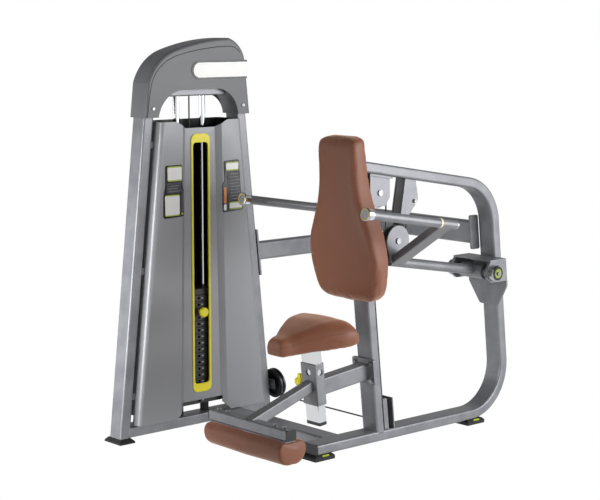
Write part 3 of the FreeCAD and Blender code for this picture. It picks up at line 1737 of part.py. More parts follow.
def seat_sleeve():
    """Tube that the seat post slides in, with its round windows and the lock's guide."""
    tube = bar(V(seat_axis, user_plane, sleeve_low), V(seat_axis, user_plane, sleeve_high), ALONG_X,
               sleeve_long_x, sleeve_wide_y, sleeve_round, sleeve_wall)
    window = V(seat_axis, user_plane, sleeve_hole_height)
    tube = tube.cut(disc(window, V(-1, 0, 0), sleeve_hole_radius, 0, sleeve_long_x))
    tube = tube.cut(disc(window, V(0, -1, 0), sleeve_hole_radius, 0, sleeve_wide_y))
    lock = V(seat_axis, user_plane, lock_height)
    face = sleeve_wide_y / 2
    guide = disc(lock, ALONG_Y, lock_guide_radius, face - sleeve_wall / 2, face + lock_guide_long)
    tube = tube.fuse(guide).removeSplitter()
    return leaned(tube.cut(disc(lock, ALONG_Y, lock_radius + slide_gap, 0, sleeve_wide_y)))


def seat_lock():
    """Spring pin and its pull knob."""
    lock = V(seat_axis, user_plane, lock_height)
    face = sleeve_wide_y / 2
    pin = disc(lock, ALONG_Y, lock_radius, face - sleeve_wall + seat_gap, face + lock_guide_long + seat_gap)
    start = face + lock_guide_long + seat_gap
    knob = disc(lock, ALONG_Y, lock_knob_radius, start, start + lock_knob_long)
    knob = knob.makeFillet(lock_knob_radius / 4, [e for e in knob.Edges if len(e.Vertexes) == 1])
    return leaned(pin.fuse(knob))


def seat_beam():
    """Beam from the middle upright to the seat sleeve, with its bolted flange."""
    t = seat_beam_low + seat_beam_high / 2
    face = -loop_thick / 2
    start = V(seat_axis + sleeve_long_x / 2, user_plane, t)
    stop = V(face - seat_flange_thick, user_plane, t)
    beam = bar(start, stop, ALONG_Y, seat_beam_wide, seat_beam_high, tube_round, steel_wall)
    flange = block((face - seat_flange_thick, face),
                   (user_plane - seat_flange_wide / 2, user_plane + seat_flange_wide / 2),
                   (t - seat_flange_high / 2, t + seat_flange_high / 2))
    flange = flange.makeFillet(flange_thick, [e for e in flange.Edges if near(e.Length, seat_flange_thick)])
    return leaned(beam.fuse(flange).removeSplitter())


# Foot hold-down


def sleeve_front(z):
    """Point on the sleeve's front face at a height."""
    origin = lean_out(seat_axis - sleeve_long_x / 2, user_plane, 0)
    up = lean_up()
    return origin + up * ((z - origin.z) / up.z)


def foot_strut():
    """Sloping strut from the seat sleeve down to the foot bar."""
    start = sleeve_front(strut_back_z)
    stop = V(strut_front_x, user_plane, strut_front_z)
    run = (stop - start).normalize()
    strut = bar(start - run * strut_side, stop + run * strut_side, ALONG_Y, strut_side, strut_side,
                tube_round, steel_wall)
    solid_sleeve = leaned(bar(V(seat_axis, user_plane, 0), V(seat_axis, user_plane, 2 * sleeve_high), ALONG_X,
                              sleeve_long_x, sleeve_wide_y, sleeve_round))
    return largest(strut.cut(solid_sleeve).cut(foot_bar_solid()))


def foot_bar_solid():
    """Foot bar without its hollow, for the strut's end cut."""
    z = bar_top - bar_high / 2
    x = bar_left + bar_wide / 2
    return bar(V(x, user_plane - bar_half_long, z), V(x, user_plane + bar_half_long, z), ALONG_X,
               bar_wide, bar_high, tube_round)


def foot_bar():
    """Cross bar over the foot pad, with the pad's mounting plate."""
    z = bar_top - bar_high / 2
    x = bar_left + bar_wide / 2
    tube = bar(V(x, user_plane - bar_half_long, z), V(x, user_plane + bar_half_long, z), ALONG_X,
               bar_wide, bar_high, tube_round, steel_wall)
    low = bar_top - bar_high
    plate = block((bar_left, bar_left + bar_wide), (user_plane - bar_half_long, user_plane + bar_half_long),
                  (low - foot_plate_thick, low))
    return Part.makeCompound([tube, plate])


def foot_pad_section(y, scale):
    """Section of the foot pad: flat on top, rounded below."""
    top = bar_top - bar_high - foot_plate_thick - seat_gap
    x = bar_left + bar_wide / 2 + foot_pad_shift
    half = foot_pad_wide / 2 * scale
    tall = foot_pad_tall * scale

    def at(a, z):
        return V(x + a, y, z)

    edge = half * foot_pad_flat_share
    shoulder = half * foot_pad_shoulder_share
    belly = half * foot_pad_belly_share
    turn = tall * foot_pad_turn_share
    low = top - tall
    side = top - tall * foot_pad_side_share
    parts = [Part.LineSegment(at(-edge, top), at(edge, top)),
             Part.Arc(at(edge, top), at(shoulder, top - turn), at(half, side)),
             Part.Arc(at(half, side), at(belly, low + turn), at(0, low)),
             Part.Arc(at(0, low), at(-belly, low + turn), at(-half, side)),
             Part.Arc(at(-half, side), at(-shoulder, top - turn), at(-edge, top))]
    return Part.Wire([p.toShape() for p in parts])


def foot_pad():
    """Half-round upholstered pad that the insteps press up against."""
    wires = [foot_pad_section(user_plane + foot_pad_half_long * (2 * along - 1), scale)
             for along, scale in foot_pad_station_shares]
    return Part.makeLoft(wires, True, False)


# Bolts


def frame_bolts():
    """Bolt heads of the flanges, the foot bar and the shoes."""
    heads = []
    for z in (beam_flange_low + 3 * bolt_radius, beam_flange_low + beam_flange_high - 2 * bolt_radius):
        point = V(upright_outer(1, z) + flange_thick, beam_flange_deep / 2, z)
        out = V(math.cos(math.radians(lean_deg)), 0, math.sin(math.radians(lean_deg)))
        heads.append(bolt(point, out))
    t_mid = seat_beam_low + seat_beam_high / 2
    for a in (-1, 1):
        for b in (-1, 1):
            point = lean_out(-loop_thick / 2 - seat_flange_thick,
                             user_plane + a * (seat_flange_wide / 2 - 2 * bolt_radius),
                             t_mid + b * (seat_flange_high / 2 - 2 * bolt_radius))
            heads.append(bolt(point, lean_back() * -1))
    for share in foot_bolt_shares:
        heads.append(bolt(V(bar_left + bar_wide / 2, user_plane + bar_half_long * share, bar_top), UP))
    up = lean_up()
    z = beam_low + beam_high + cross_beam_high / 2
    face = V(sum(cross_beam_x()) / 2, user_plane + loop_wide / 2 + flange_thick, z)
    reach = cross_flange_long / 2 - 2 * small_bolt_radius
    for b in (-1, 1):
        heads.append(bolt(face + up * (b * reach), ALONG_Y, small_bolt_radius))
    return Part.makeCompound(heads)


def cap_bolts():
    """Round-headed bolts in the cap's legs."""
    return Part.makeCompound([dome_bolt(cap_point(side * cap_bolt_half, cap_low + cap_bolt_rise),
                                        ALONG_Y * -1, cap_bolt_radius) for side in (-1, 1)])


def machine_middle():
    """Middle of the machine's outline on the floor, from its outermost sizes."""
    before, corner, after = loop_points()[:3]
    half = (before - corner).getAngle(after - corner) / 2
    inward = ((before - corner).normalize() + (after - corner).normalize()).normalize()
    bend_centre = corner + inward * (loop_bend / math.sin(half))
    right = bend_centre.x + loop_bend + loop_thick / 2
    left = tower_middle - tower_half - foot_overhang
    near_side = user_plane - hand_half - hand_cap_radius
    return V((left + right) / 2, (near_side + rear_shroud_back) / 2, 0)


def together(*makers):
    """Maker of one shape from several, left as separate solids."""
    return lambda: Part.makeCompound([solid for make in makers for solid in make().Solids])


NODES = {
    "tower_base": tower_base_tube,
    "tower_uprights": tower_uprights,
    "front_shroud": front_shroud,
    "rear_shroud": rear_shroud,
    "shroud_tabs": shroud_tabs,
    "slot_frame": slot_frame,
    "tower_cap": tower_cap,
    "cap_back_cover": cap_back_cover,
    "guide_rods": guide_rods,
    "rubber_buffers": together(rod_buffers, stop_buffer),
    "weight_plates": weight_plates,
    "lifted_plates": lifted_plates,
    "head_plate": head_plate,
    "selector_rod": together(selector_rod, stack_terminal),
    "selector_pin": selector_pin,
    "pin_knob": pin_knob,
    "drive_cable": together(tower_cable, floor_cable),
    "arm_strands": arm_strands,
    "arm_cable_loop": arm_cable_loop,
    "stack_cable": stack_cable,
    "cable_anchor": together(anchor_terminal, anchor_bolt),
    "pulley_carrier": together(tower_top_beam, pulley_carrier),
    "root_axles": root_axles,
    "floor_wheel_brackets": together(tower_fork, base_bracket),
    "upper_bracket": upper_bracket,
    "top_pulley_inner": lambda: pulley(top_inner_centre(), ALONG_Y),
    "top_pulley_outer": lambda: pulley(top_outer_centre(), ALONG_Y),
    "tower_pulley": lambda: pulley(tower_pulley_centre(), strand_frame()[1], tower_wheel_radius),
    "base_pulley": lambda: pulley(base_pulley_centre(), lean_back()),
    "upper_pulley": lambda: pulley(upper_pulley_centre(), ALONG_Y),
    "arm_pulley": lambda: pulley(arm_pulley_centre(), ALONG_Y),
    "arm_pulley_bracket": arm_pulley_bracket,
    "arm_axle": arm_axle,
    "loop_frame": loop_frame,
    "middle_upright": middle_upright,
    "tube_caps": tube_caps,
    "rubber_feet": together(rubber_feet, tower_feet),
    "cross_tube": cross_tube,
    "tower_beam": tower_beam,
    "rear_cross_beam": rear_cross_beam,
    "frame_bolts": together(frame_bolts, cap_bolts),
    "stop_post": stop_post,
    "pivot_yoke": together(pivot_yoke, pivot_gusset),
    "bearing_housings": bearing_housings,
    "pivot_shaft": together(pivot_shaft, hub_spacers),
    "press_lever": press_lever,
    "press_arms": press_arms,
    "hand_bars": hand_bars,
    "hand_caps": hand_caps,
    "back_pad": back_pad,
    "back_board": back_board,
    "seat_cushion": seat_cushion,
    "seat_board": seat_board,
    "seat_post": seat_post,
    "seat_sleeve": seat_sleeve,
    "seat_lock": seat_lock,
    "seat_beam": seat_beam,
    "foot_strut": foot_strut,
    "foot_bar": foot_bar,
    "foot_pad": foot_pad,
}


def main():
    """Build every piece about the machine's middle and write one STEP file for each."""
    os.makedirs("parts", exist_ok=True)
    middle = machine_middle()
    for name, make in NODES.items():
        shape = make()
        shape.translate(middle * -1)
        print(name, len(shape.Solids), round(shape.Volume))
        shape.exportStep("parts/" + name + ".step")


if __name__ == "__main__":
    main()
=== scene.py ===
"""Seated triceps press: studio, finishes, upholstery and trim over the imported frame."""
import logging
import math
from dataclasses import dataclass
from enum import Enum
from typing import Iterable, Sequence

import bmesh
import bpy
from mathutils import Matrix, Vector
from mathutils.bvhtree import BVHTree


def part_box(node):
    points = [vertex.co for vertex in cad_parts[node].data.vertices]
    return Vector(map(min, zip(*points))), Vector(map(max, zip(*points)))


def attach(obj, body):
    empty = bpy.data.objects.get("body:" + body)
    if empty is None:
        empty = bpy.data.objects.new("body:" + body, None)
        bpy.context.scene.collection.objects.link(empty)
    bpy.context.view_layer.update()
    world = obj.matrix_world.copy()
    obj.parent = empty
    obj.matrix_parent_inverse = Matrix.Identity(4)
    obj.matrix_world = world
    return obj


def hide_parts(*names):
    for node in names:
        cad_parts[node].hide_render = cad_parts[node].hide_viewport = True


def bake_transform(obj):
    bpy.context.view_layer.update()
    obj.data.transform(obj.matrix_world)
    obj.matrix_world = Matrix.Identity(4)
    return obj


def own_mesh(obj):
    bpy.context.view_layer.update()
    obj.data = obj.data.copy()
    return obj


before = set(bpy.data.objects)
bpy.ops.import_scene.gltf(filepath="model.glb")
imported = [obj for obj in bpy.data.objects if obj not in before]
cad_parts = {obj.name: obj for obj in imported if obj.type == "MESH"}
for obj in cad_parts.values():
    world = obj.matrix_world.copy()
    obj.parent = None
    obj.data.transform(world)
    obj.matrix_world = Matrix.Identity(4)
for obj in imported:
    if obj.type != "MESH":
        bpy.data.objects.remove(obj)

LOG = logging.getLogger("triceps_press")
MM = 0.001
MACHINE_MIDDLE = Vector((703.4841, -433.25, 0.0))
UP = Vector((0, 0, 1))
ALONG_X = Vector((1, 0, 0))
ALONG_Y = Vector((0, 1, 0))
TO_FRONT = Vector((0, -1, 0))
USER_PLANE = -623.0
TOWER_MIDDLE = 375.0
LEAN = math.radians(6.12)
LEAN_COS, LEAN_SIN = math.cos(LEAN), math.sin(LEAN)
UPRIGHT_FOOT = Vector((712.5, 0, 60.0))
BOTH_SIDES = ((-1, "near"), (1, "far"))
LATHE_SIDES = 40
ABS_IOR = 1.53
NYLON_IOR = 1.53
RUBBER_IOR = 1.52
ACRYLIC_IOR = 1.49
# A wave pattern of scale 1 repeats about once in 2 pi.
WAVE_LENGTH = 6.2832
# Blender's noise seldom leaves this band.
NOISE_LOW, NOISE_HIGH = 0.3, 0.7

Pair = tuple[float, float]
Triple = tuple[float, float, float]
Socket = bpy.types.NodeSocket


class Body(str, Enum):
    """Rigid bodies that pieces ride on."""

    FRAME = "machine_frame"
    ARM = "press_arm"
    STACK = "lifted_stack"
    SEAT = "seat"
    SEAT_LOCK = "seat_lock_pin"


class Slot(str, Enum):
    """Material slots of the record, passed along with each new piece."""

    CAP = "cap_abs"
    CHROME = "chrome"
    YELLOW = "slot_yellow"
    RUBBER = "rubber_black"
    LEATHER = "leather_brown"
    CABLE = "cable_black"


def at(x: float, y: float, z: float) -> Vector:
    """Point in metres about the machine's middle.

    Args:
        x: Millimetres along the tower's width.
        y: Millimetres from the uprights' front.
        z: Millimetres above the floor.

    Returns:
        The same point in the frame's coordinates.
    """
    return (Vector((x, y, z)) - MACHINE_MIDDLE) * MM


def leaning(s: float, y: float, t: float) -> Vector:
    """Point beside the leaning middle upright.

    Args:
        s: Millimetres away from the upright's middle, towards the rear.
        y: Millimetres from the tower uprights' front.
        t: Millimetres up along the upright.

    Returns:
        The point in the frame's coordinates.
    """
    x = UPRIGHT_FOOT.x + s * LEAN_COS - t * LEAN_SIN
    z = UPRIGHT_FOOT.z + s * LEAN_SIN + t * LEAN_COS
    return at(x, y, z)


def linear(hex_code: str) -> tuple[float, float, float, float]:
    """Linear colour of an sRGB hex value.

    Args:
        hex_code: Six hex digits.

    Returns:
        Red, green, blue and a full alpha.
    """
    channels = []
    for i in (0, 2, 4):
        c = int(hex_code[i:i + 2], 16) / 255
        channels.append(c / 12.92 if c <= 0.04045 else ((c + 0.055) / 1.055) ** 2.4)
    return (*channels, 1.0)


def add_node(tree: bpy.types.NodeTree, kind: str, settings: dict | None = None,
             links: dict | None = None) -> bpy.types.Node:
    """Adds a shader node with its settings and links.

    Args:
        tree: Node tree to add to.
        kind: The node's type name, without its leading "ShaderNode".
        settings: Attribute values in lower case, or socket values by index or capitalised name.
        links: Output sockets by the name or index of the input that they feed.

    Returns:
        The new node.
    """
    node = tree.nodes.new("ShaderNode" + kind)
    for name, value in (settings or {}).items():
        if isinstance(name, int) or name[0].isupper():
            node.inputs[name].default_value = value
        else:
            setattr(node, name, value)
    for name, source in (links or {}).items():
        tree.links.new(source, node.inputs[name])
    return node


def cleared(owner: bpy.types.Material | bpy.types.World) -> bpy.types.NodeTree:
    """Empty node tree of a new material or surround."""
    owner.use_nodes = True
    owner.node_tree.nodes.clear()
    return owner.node_tree


def per_mm(size: float) -> float:
    """Texture scale of a pattern whose features are that many millimetres apart."""
    return 1.0 / (size * MM)


# Finishes


class MaterialWork:
    """A material being made: its tree, its shader and its object coordinates."""

    def __init__(self, finish: "Finish") -> None:
        """Makes the material and sets its shader's plain values.

        Args:
            finish: The finish that it shows.
        """
        self.finish = finish
        self.material = bpy.data.materials.new(finish.name)
        self.tree = cleared(self.material)
        self.shader = add_node(self.tree, "BsdfPrincipled", {
            "Base Color": linear(finish.colour), "Roughness": finish.roughness, "Metallic": finish.metallic})
        if not finish.metallic:
            self.shader.inputs["IOR"].default_value = finish.ior
        add_node(self.tree, "OutputMaterial", links={0: self.shader.outputs[0]})
        self.where = add_node(self.tree, "TexCoord").outputs

    def feed(self, name: str, source: Socket) -> None:
        """Links a pattern to one of the shader's sockets."""
        self.tree.links.new(source, self.shader.inputs[name])

    def noise(self, size: float, detail: float = 2.0, output: int | str = 0) -> Socket:
        """Noise whose patches are a real size.

        Args:
            size: Patch size in millimetres.
            detail: Octaves of finer noise.
            output: Which of its outputs to give.

        Returns:
            The noise.
        """
        node = add_node(self.tree, "TexNoise", {"Scale": per_mm(size), "Detail": detail},
                        {"Vector": self.where["Object"]})
        return node.outputs[output]

    def spread(self, pattern: Socket, low: float, high: float) -> Socket:
        """Maps a noise from its usual middle band to a range.

        Args:
            pattern: Noise from 0 to 1.
            low: Result where the noise is low.
            high: Result where the noise is high.

        Returns:
            The mapped noise.
        """
        band = {"From Min": NOISE_LOW, "From Max": NOISE_HIGH, "To Min": low, "To Max": high}
        return add_node(self.tree, "MapRange", band, {"Value": pattern}).outputs[0]

    def tint(self, factor: Socket, first: Socket | str, second: str) -> Socket:
        """Mix of two colours by a pattern.

        Args:
            factor: Share of the second colour.
            first: Hex value or colour.
            second: Hex value.

        Returns:
            The mixed colour.
        """
        mix = add_node(self.tree, "Mix", {"data_type": "RGBA", 7: linear(second)}, {0: factor})
        if isinstance(first, str):
            mix.inputs[6].default_value = linear(first)
        else:
            self.tree.links.new(first, mix.inputs[6])
        return mix.outputs[2]

    def mottle(self, pattern: Socket, most: float, second: str) -> Socket:
        """The finish's colour, shaded towards another where a noise is high."""
        return self.tint(self.spread(pattern, 0.0, most), self.finish.colour, second)

    def gloss(self, pattern: Socket, low: float, high: float) -> None:
        """Varies the roughness by a noise, between two shares of its plain value."""
        rough = self.finish.roughness
        self.feed("Roughness", self.spread(pattern, rough * low, rough * high))

    def relief(self, height: Socket, depth: float, strength: float = 1.0) -> None:
        """Bump from a height pattern, over softened edges where the finish has them.

        Args:
            height: Pattern from 0 to 1.
            depth: Real depth in millimetres.
            strength: Share of the bump that shows.
        """
        bump = add_node(self.tree, "Bump", {"Distance": depth * MM, "Strength": strength}, {"Height": height})
        if self.finish.edge_mm:
            edge = add_node(self.tree, "Bevel", {"samples": 4, "Radius": self.finish.edge_mm * MM})
            self.tree.links.new(edge.outputs[0], bump.inputs["Normal"])
        self.feed("Normal", bump.outputs[0])


@dataclass(frozen=True)
class Finish:
    """What every finish shares: a name, a colour and the shader's plain values."""

    name: str
    colour: str
    roughness: float
    metallic: float = 0.0
    ior: float = 1.5
    edge_mm: float = 0.0

    def draw(self, work: MaterialWork) -> None:
        """Draws the finish's patterns; each kind of finish has its own."""
        raise NotImplementedError

    def build(self) -> bpy.types.Material:
        """Builds the material.

        Returns:
            The material with its patterns.
        """
        work = MaterialWork(self)
        self.draw(work)
        return work.material


@dataclass(frozen=True)
class PowderCoat(Finish):
    """Silver-grey metallic polyester powder, sprayed and baked: a satin skin with orange peel and fine flake."""

    flake: str = "B9BABF"
    worn_and_highlight: str = "C4C5C8"
    flake_mm: float = 1.1
    peel_mm: float = 2.2
    edge_wear_and_highlight_mm: float = 2.2

    def draw(self, work: MaterialWork) -> None:
        """Draws flake, orange peel, and edges made slightly brighter by wear and a painted highlight.

        Args:
            work: The material being made.
        """
        tree = work.tree
        # Real flake is 0.05 mm; drawn at 1.1 mm so that it shows.
        flakes = add_node(tree, "TexVoronoi", {"Scale": per_mm(self.flake_mm)}, {"Vector": work.where["Object"]})
        grey = add_node(tree, "RGBToBW", links={0: flakes.outputs["Color"]})
        share = add_node(tree, "MapRange", {"From Min": 0.62, "From Max": 1.0, "To Max": 0.35},
                         {"Value": grey.outputs[0]})
        patch = work.noise(60, 3)
        flaked = work.tint(share.outputs[0], work.mottle(patch, 0.16, self.worn_and_highlight), self.flake)
        # A rounded edge is drawn lighter: a painted highlight where it catches more light, and wear where it is
        # rubbed first.
        edge = add_node(tree, "Bevel", {"samples": 4, "Radius": self.edge_wear_and_highlight_mm * MM})
        flat = add_node(tree, "NewGeometry")
        turn = add_node(tree, "VectorMath", {"operation": "DOT_PRODUCT"},
                        {0: edge.outputs[0], 1: flat.outputs["Normal"]})
        edge_wear_and_highlight = add_node(tree, "MapRange", {"From Min": 0.995, "From Max": 0.8, "To Max": 0.3},
                       {"Value": turn.outputs["Value"]})
        work.feed("Base Color", work.tint(edge_wear_and_highlight.outputs[0], flaked, self.worn_and_highlight))
        work.gloss(patch, 0.9, 1.1)
        # Orange peel of a powder coat is about 2 mm across.
        work.relief(work.noise(self.peel_mm, 1), 0.03)


@dataclass(frozen=True)
class SprayedSheet(Finish):
    """Folded sheet steel sprayed silver-grey, with near-black painted shade on its inside faces, where the light does
    not reach.
    """

    inside_shade: str = "0D0D0F"
    dull: str = "8E8F94"
    tower_middle: Triple = (-0.3285, 0.479, 0.0)
    peel_mm: float = 2.2

    def draw(self, work: MaterialWork) -> None:
        """Draws satin grey on faces turned out of the tower, and near-black painted shade on those turned in.

        Args:
            work: The material being made.
        """
        patch = work.noise(90)
        away = add_node(work.tree, "VectorMath", {"operation": "SUBTRACT", 1: self.tower_middle},
                        {0: work.where["Object"]})
        level = add_node(work.tree, "VectorMath", {"operation": "MULTIPLY", 1: (1.0, 1.0, 0.0)},
                         {0: away.outputs[0]})
        turn = add_node(work.tree, "VectorMath", {"operation": "DOT_PRODUCT"},
                        {0: level.outputs[0], 1: work.where["Normal"]})
        # Painted shade: faces turned in towards the tower's middle are drawn near black.
        inside = add_node(work.tree, "Math", {"operation": "LESS_THAN", 1: -0.004}, {0: turn.outputs["Value"]})
        toned = work.mottle(patch, 0.12, self.dull)
        work.feed("Base Color", work.tint(inside.outputs[0], toned, self.inside_shade))
        work.gloss(patch, 0.9, 1.1)
        work.relief(work.noise(self.peel_mm, 1), 0.03)


@dataclass(frozen=True)
class GrainedAbs(Finish):
    """Moulded ABS from a spark-eroded tool: an even fine grain that scatters highlights."""

    ior: float = ABS_IOR
    pale: str = "7A7B7F"
    grain_mm: float = 1.1

    def draw(self, work: MaterialWork) -> None:
        """Draws a fine even grain.

        Args:
            work: The material being made.
        """
        grain = work.noise(self.grain_mm, 3)
        work.feed("Base Color", work.mottle(work.noise(80), 0.18, self.pale))
        work.gloss(grain, 0.92, 1.08)
        work.relief(grain, 0.05)


@dataclass(frozen=True)
class MouldedPlastic(Finish):
    """Injection-moulded plastic with a smooth tool face: a soft clear gloss with faint flow marks."""

    ior: float = ABS_IOR
    shade: str = "000000"

    def draw(self, work: MaterialWork) -> None:
        """Draws faint flow marks.

        Args:
            work: The material being made.
        """
        flow = work.noise(22)
        work.feed("Base Color", work.mottle(flow, 0.12, self.shade))
        work.gloss(flow, 0.85, 1.15)
        work.relief(work.noise(1.8), 0.015)


@dataclass(frozen=True)
class AcrylicSheet(MouldedPlastic):
    """Cast acrylic cut to shape: a clear even gloss over flat colour."""

    ior: float = ACRYLIC_IOR


@dataclass(frozen=True)
class Leatherette(Finish):
    """Brown polyurethane on knitted backing, embossed with a pebble grain: satin, with painted shade in its valleys.
    """

    valley_shade: str = "4C2A1A"
    bloom: str = "965D44"
    sheen_tint: str = "FFD0B4"
    grain_mm: float = 2.0
    wander_m: float = 0.0012

    def draw(self, work: MaterialWork) -> None:
        """Draws an embossed grain, uneven dye and painted shade in the grain's valleys, under a soft warm sheen.

        Args:
            work: The material being made.
        """
        sheen = {"Sheen Weight": 0.75, "Sheen Roughness": 0.5, "Sheen Tint": linear(self.sheen_tint)}
        for name, value in sheen.items():
            work.shader.inputs[name].default_value = value
        bent = add_node(work.tree, "VectorMath", {"operation": "MULTIPLY_ADD", 1: (self.wander_m,) * 3},
                        {0: work.noise(9, output="Color"), 2: work.where["Object"]})
        # Real pebbles are 0.8 mm; drawn at 2 mm so that they show.
        cells = add_node(work.tree, "TexVoronoi", {"feature": "DISTANCE_TO_EDGE", "Scale": per_mm(self.grain_mm)},
                         {"Vector": bent.outputs[0]})
        pebble = add_node(work.tree, "MapRange", {"From Max": 0.35, "interpolation_type": "SMOOTHSTEP"},
                          {"Value": cells.outputs["Distance"]})
        # Painted shade: the colour darkens towards the grain's valleys.
        depth = add_node(work.tree, "MapRange", {"To Min": 0.3, "To Max": 0.0}, {"Value": pebble.outputs[0]})
        dye = work.noise(70, 3)
        work.feed("Base Color", work.tint(depth.outputs[0], work.mottle(dye, 0.35, self.bloom), self.valley_shade))
        work.gloss(dye, 0.9, 1.1)
        height = add_node(work.tree, "Math", {"operation": "MULTIPLY_ADD", 1: 0.35},
                          {0: work.noise(14, 3), 2: pebble.outputs[0]})
        work.relief(height.outputs[0], 0.12, 0.6)


@dataclass(frozen=True)
class PlatedSteel(Finish):
    """Steel with a bright electroplated skin, drawn or turned first: a mirror with faint lines along the piece."""

    metallic: float = 1.0
    line_mm: float = 1.2
    stretch: Triple = (1.0, 1.0, 0.04)

    def draw(self, work: MaterialWork) -> None:
        """Draws drawing lines and finger haze.

        Args:
            work: The material being made.
        """
        drawn = add_node(work.tree, "Mapping", {"Scale": self.stretch}, {"Vector": work.where["Object"]})
        lines = add_node(work.tree, "TexNoise", {"Scale": per_mm(self.line_mm), "Detail": 2.0},
                         {"Vector": drawn.outputs[0]})
        work.gloss(work.noise(30, 3), 0.7, 1.5)
        work.relief(lines.outputs[0], 0.01, 0.5)


@dataclass(frozen=True)
class StovedIron(Finish):
    """Cast iron under black stoved enamel: sand-cast pitting shows through a low gloss."""

    dust: str = "4A4B4E"

    def draw(self, work: MaterialWork) -> None:
        """Draws cast pitting and dust.

        Args:
            work: The material being made.
        """
        pits = work.noise(3, 4)
        work.feed("Base Color", work.mottle(work.noise(40, 3), 0.25, self.dust))
        work.gloss(pits, 0.85, 1.2)
        work.relief(pits, 0.15, 0.7)


@dataclass(frozen=True)
class CoatedRope(Finish):
    """Wire rope in a black nylon skin: the lay of the strands shows as a fine twist under the gloss."""

    ior: float = NYLON_IOR
    crest: str = "2A2B2D"
    lay_mm: float = 5.0

    def draw(self, work: MaterialWork) -> None:
        """Draws the strands' twist.

        Args:
            work: The material being made.
        """
        bands = {"wave_type": "BANDS", "bands_direction": "DIAGONAL", "Scale": per_mm(self.lay_mm * WAVE_LENGTH)}
        twist = add_node(work.tree, "TexWave", bands, {"Vector": work.where["Object"]}).outputs["Fac"]
        work.feed("Base Color", work.tint(twist, self.colour, self.crest))
        work.relief(twist, 0.2, 0.6)


class Look(Enum):
    """Every finish on the machine."""

    FRAME_COAT = PowderCoat("silver_grey_powder_coat", "797A7F", 0.42, 0.5, edge_mm=1.6)
    SHEET_COAT = SprayedSheet("sprayed_sheet_steel", "949599", 0.4, 0.2, edge_mm=1.0)
    GREY_ABS = GrainedAbs("grained_grey_abs", "6A6B6F", 0.46, edge_mm=1.5)
    # Near-black cord for the painted shadow line inside the cap's rim.
    SHADOW_LINE = GrainedAbs("painted_shadow_line", "2B2C2F", 0.6, pale="38393C")
    YELLOW_ABS = MouldedPlastic("moulded_yellow_abs", "FFF22A", 0.38, edge_mm=0.8, shade="C9A800")
    LEATHER = Leatherette("brown_leatherette", "8C5237", 0.5)
    # Welts in a darker brown than the cover: painted shade along the creases where they are sewn.
    SEAM = Leatherette("leatherette_seam_shade", "5A2C18", 0.55)
    BOARD = MouldedPlastic("black_laminated_board", "17171A", 0.55, ior=1.5, edge_mm=1.0, shade="303033")
    CHROME = PlatedSteel("polished_chrome_plate", "D2D4D6", 0.07)
    NICKEL = PlatedSteel("turned_nickel_plate", "A9ABAD", 0.16)
    ZINC = PlatedSteel("zinc_plated_steel", "8E9092", 0.28, edge_mm=0.5)
    IRON = StovedIron("stoved_cast_iron", "1E1F21", 0.5, edge_mm=0.8)
    RUBBER = GrainedAbs("moulded_rubber", "141416", 0.72, ior=RUBBER_IOR, edge_mm=1.0, pale="26272A")
    NYLON = MouldedPlastic("cast_black_nylon", "121316", 0.36, ior=NYLON_IOR, edge_mm=0.5, shade="26272B")
    ROPE = CoatedRope("nylon_coated_rope", "0E0E10", 0.35)
    WHITE = AcrylicSheet("white_acrylic_sheet", "F7F7F5", 0.2, shade="E4E4E0")
    BLACK = AcrylicSheet("black_acrylic_sheet", "17181C", 0.25, shade="2A2B30")
    GREEN = AcrylicSheet("yellow_green_acrylic", "B7C832", 0.3, shade="8F9F22")
    OLIVE = AcrylicSheet("olive_green_acrylic", "93A02C", 0.35, shade="76821F")
    ORANGE = AcrylicSheet("orange_acrylic_sheet", "E98A3A", 0.3, shade="C96F28")
    CHARCOAL = AcrylicSheet("charcoal_acrylic_sheet", "3E3F43", 0.35, shade="333437")
    PRINT = AcrylicSheet("pale_grey_print", "85868A", 0.4, shade="77787C")
    TAG = AcrylicSheet("grey_white_tag", "A9AAAC", 0.4, shade="8D8E90")
    BRASS = PlatedSteel("brass_plated_ring", "C8B25A", 0.3)


class Workshop:
    """Builds each finish once and hands it out."""

    def __init__(self) -> None:
        """Builds every material."""
        self.materials = {look: look.value.build() for look in Look}

    def dress(self, piece: bpy.types.Object, look: Look) -> None:
        """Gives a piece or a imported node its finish.

        Args:
            piece: The object.
            look: The finish.
        """
        piece.data.materials.clear()
        piece.data.materials.append(self.materials[look])

    def fit(self, piece: bpy.types.Object, look: Look, slot: Slot, body: Body) -> None:
        """Finishes a new rigid piece and sets it on its body.

        Args:
            piece: The piece.
            look: Its finish.
            slot: The record's material slot; not used.
            body: What it rides on.
        """
        self.dress(piece, look)
        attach(piece, body.value)
        LOG.info("built %s", piece.name)


# Mesh helpers


def new_piece(name: str, verts: Iterable[Vector], faces: Iterable[Sequence[int]],
              smooth: bool = True) -> bpy.types.Object:
    """Mesh object from points and faces.

    Args:
        name: The piece's name.
        verts: Points in metres.
        faces: Point indices of each face.
        smooth: Whether the faces shade smoothly.

    Returns:
        The linked object.
    """
    mesh = bpy.data.meshes.new(name)
    mesh.from_pydata([tuple(v) for v in verts], [], [tuple(f) for f in faces])
    build = bmesh.new()
    build.from_mesh(mesh)
    bmesh.ops.recalc_face_normals(build, faces=build.faces)
    build.to_mesh(mesh)
    build.free()
    if smooth:
        mesh.shade_smooth()
    piece = bpy.data.objects.new(name, mesh)
    bpy.context.scene.collection.objects.link(piece)
    return piece


def lofted(name: str, rings: Sequence[Sequence[Vector]], closed: bool = False,
           smooth: bool = True) -> bpy.types.Object:
    """Skin through rings of equal count, capped at both ends unless they join up.

    Args:
        name: The piece's name.
        rings: Rings of points in metres.
        closed: Whether the last ring joins the first.
        smooth: Whether the faces shade smoothly.

    Returns:
        The linked object.
    """
    count, total = len(rings[0]), len(rings)
    faces: list[Sequence[int]] = []
    for here in range(total if closed else total - 1):
        beyond = (here + 1) % total
        for i in range(count):
            j = (i + 1) % count
            faces.append((here * count + i, here * count + j, beyond * count + j, beyond * count + i))
    if not closed:
        faces += [range(count), range((total - 1) * count, total * count)]
    return new_piece(name, [p for ring in rings for p in ring], faces, smooth)


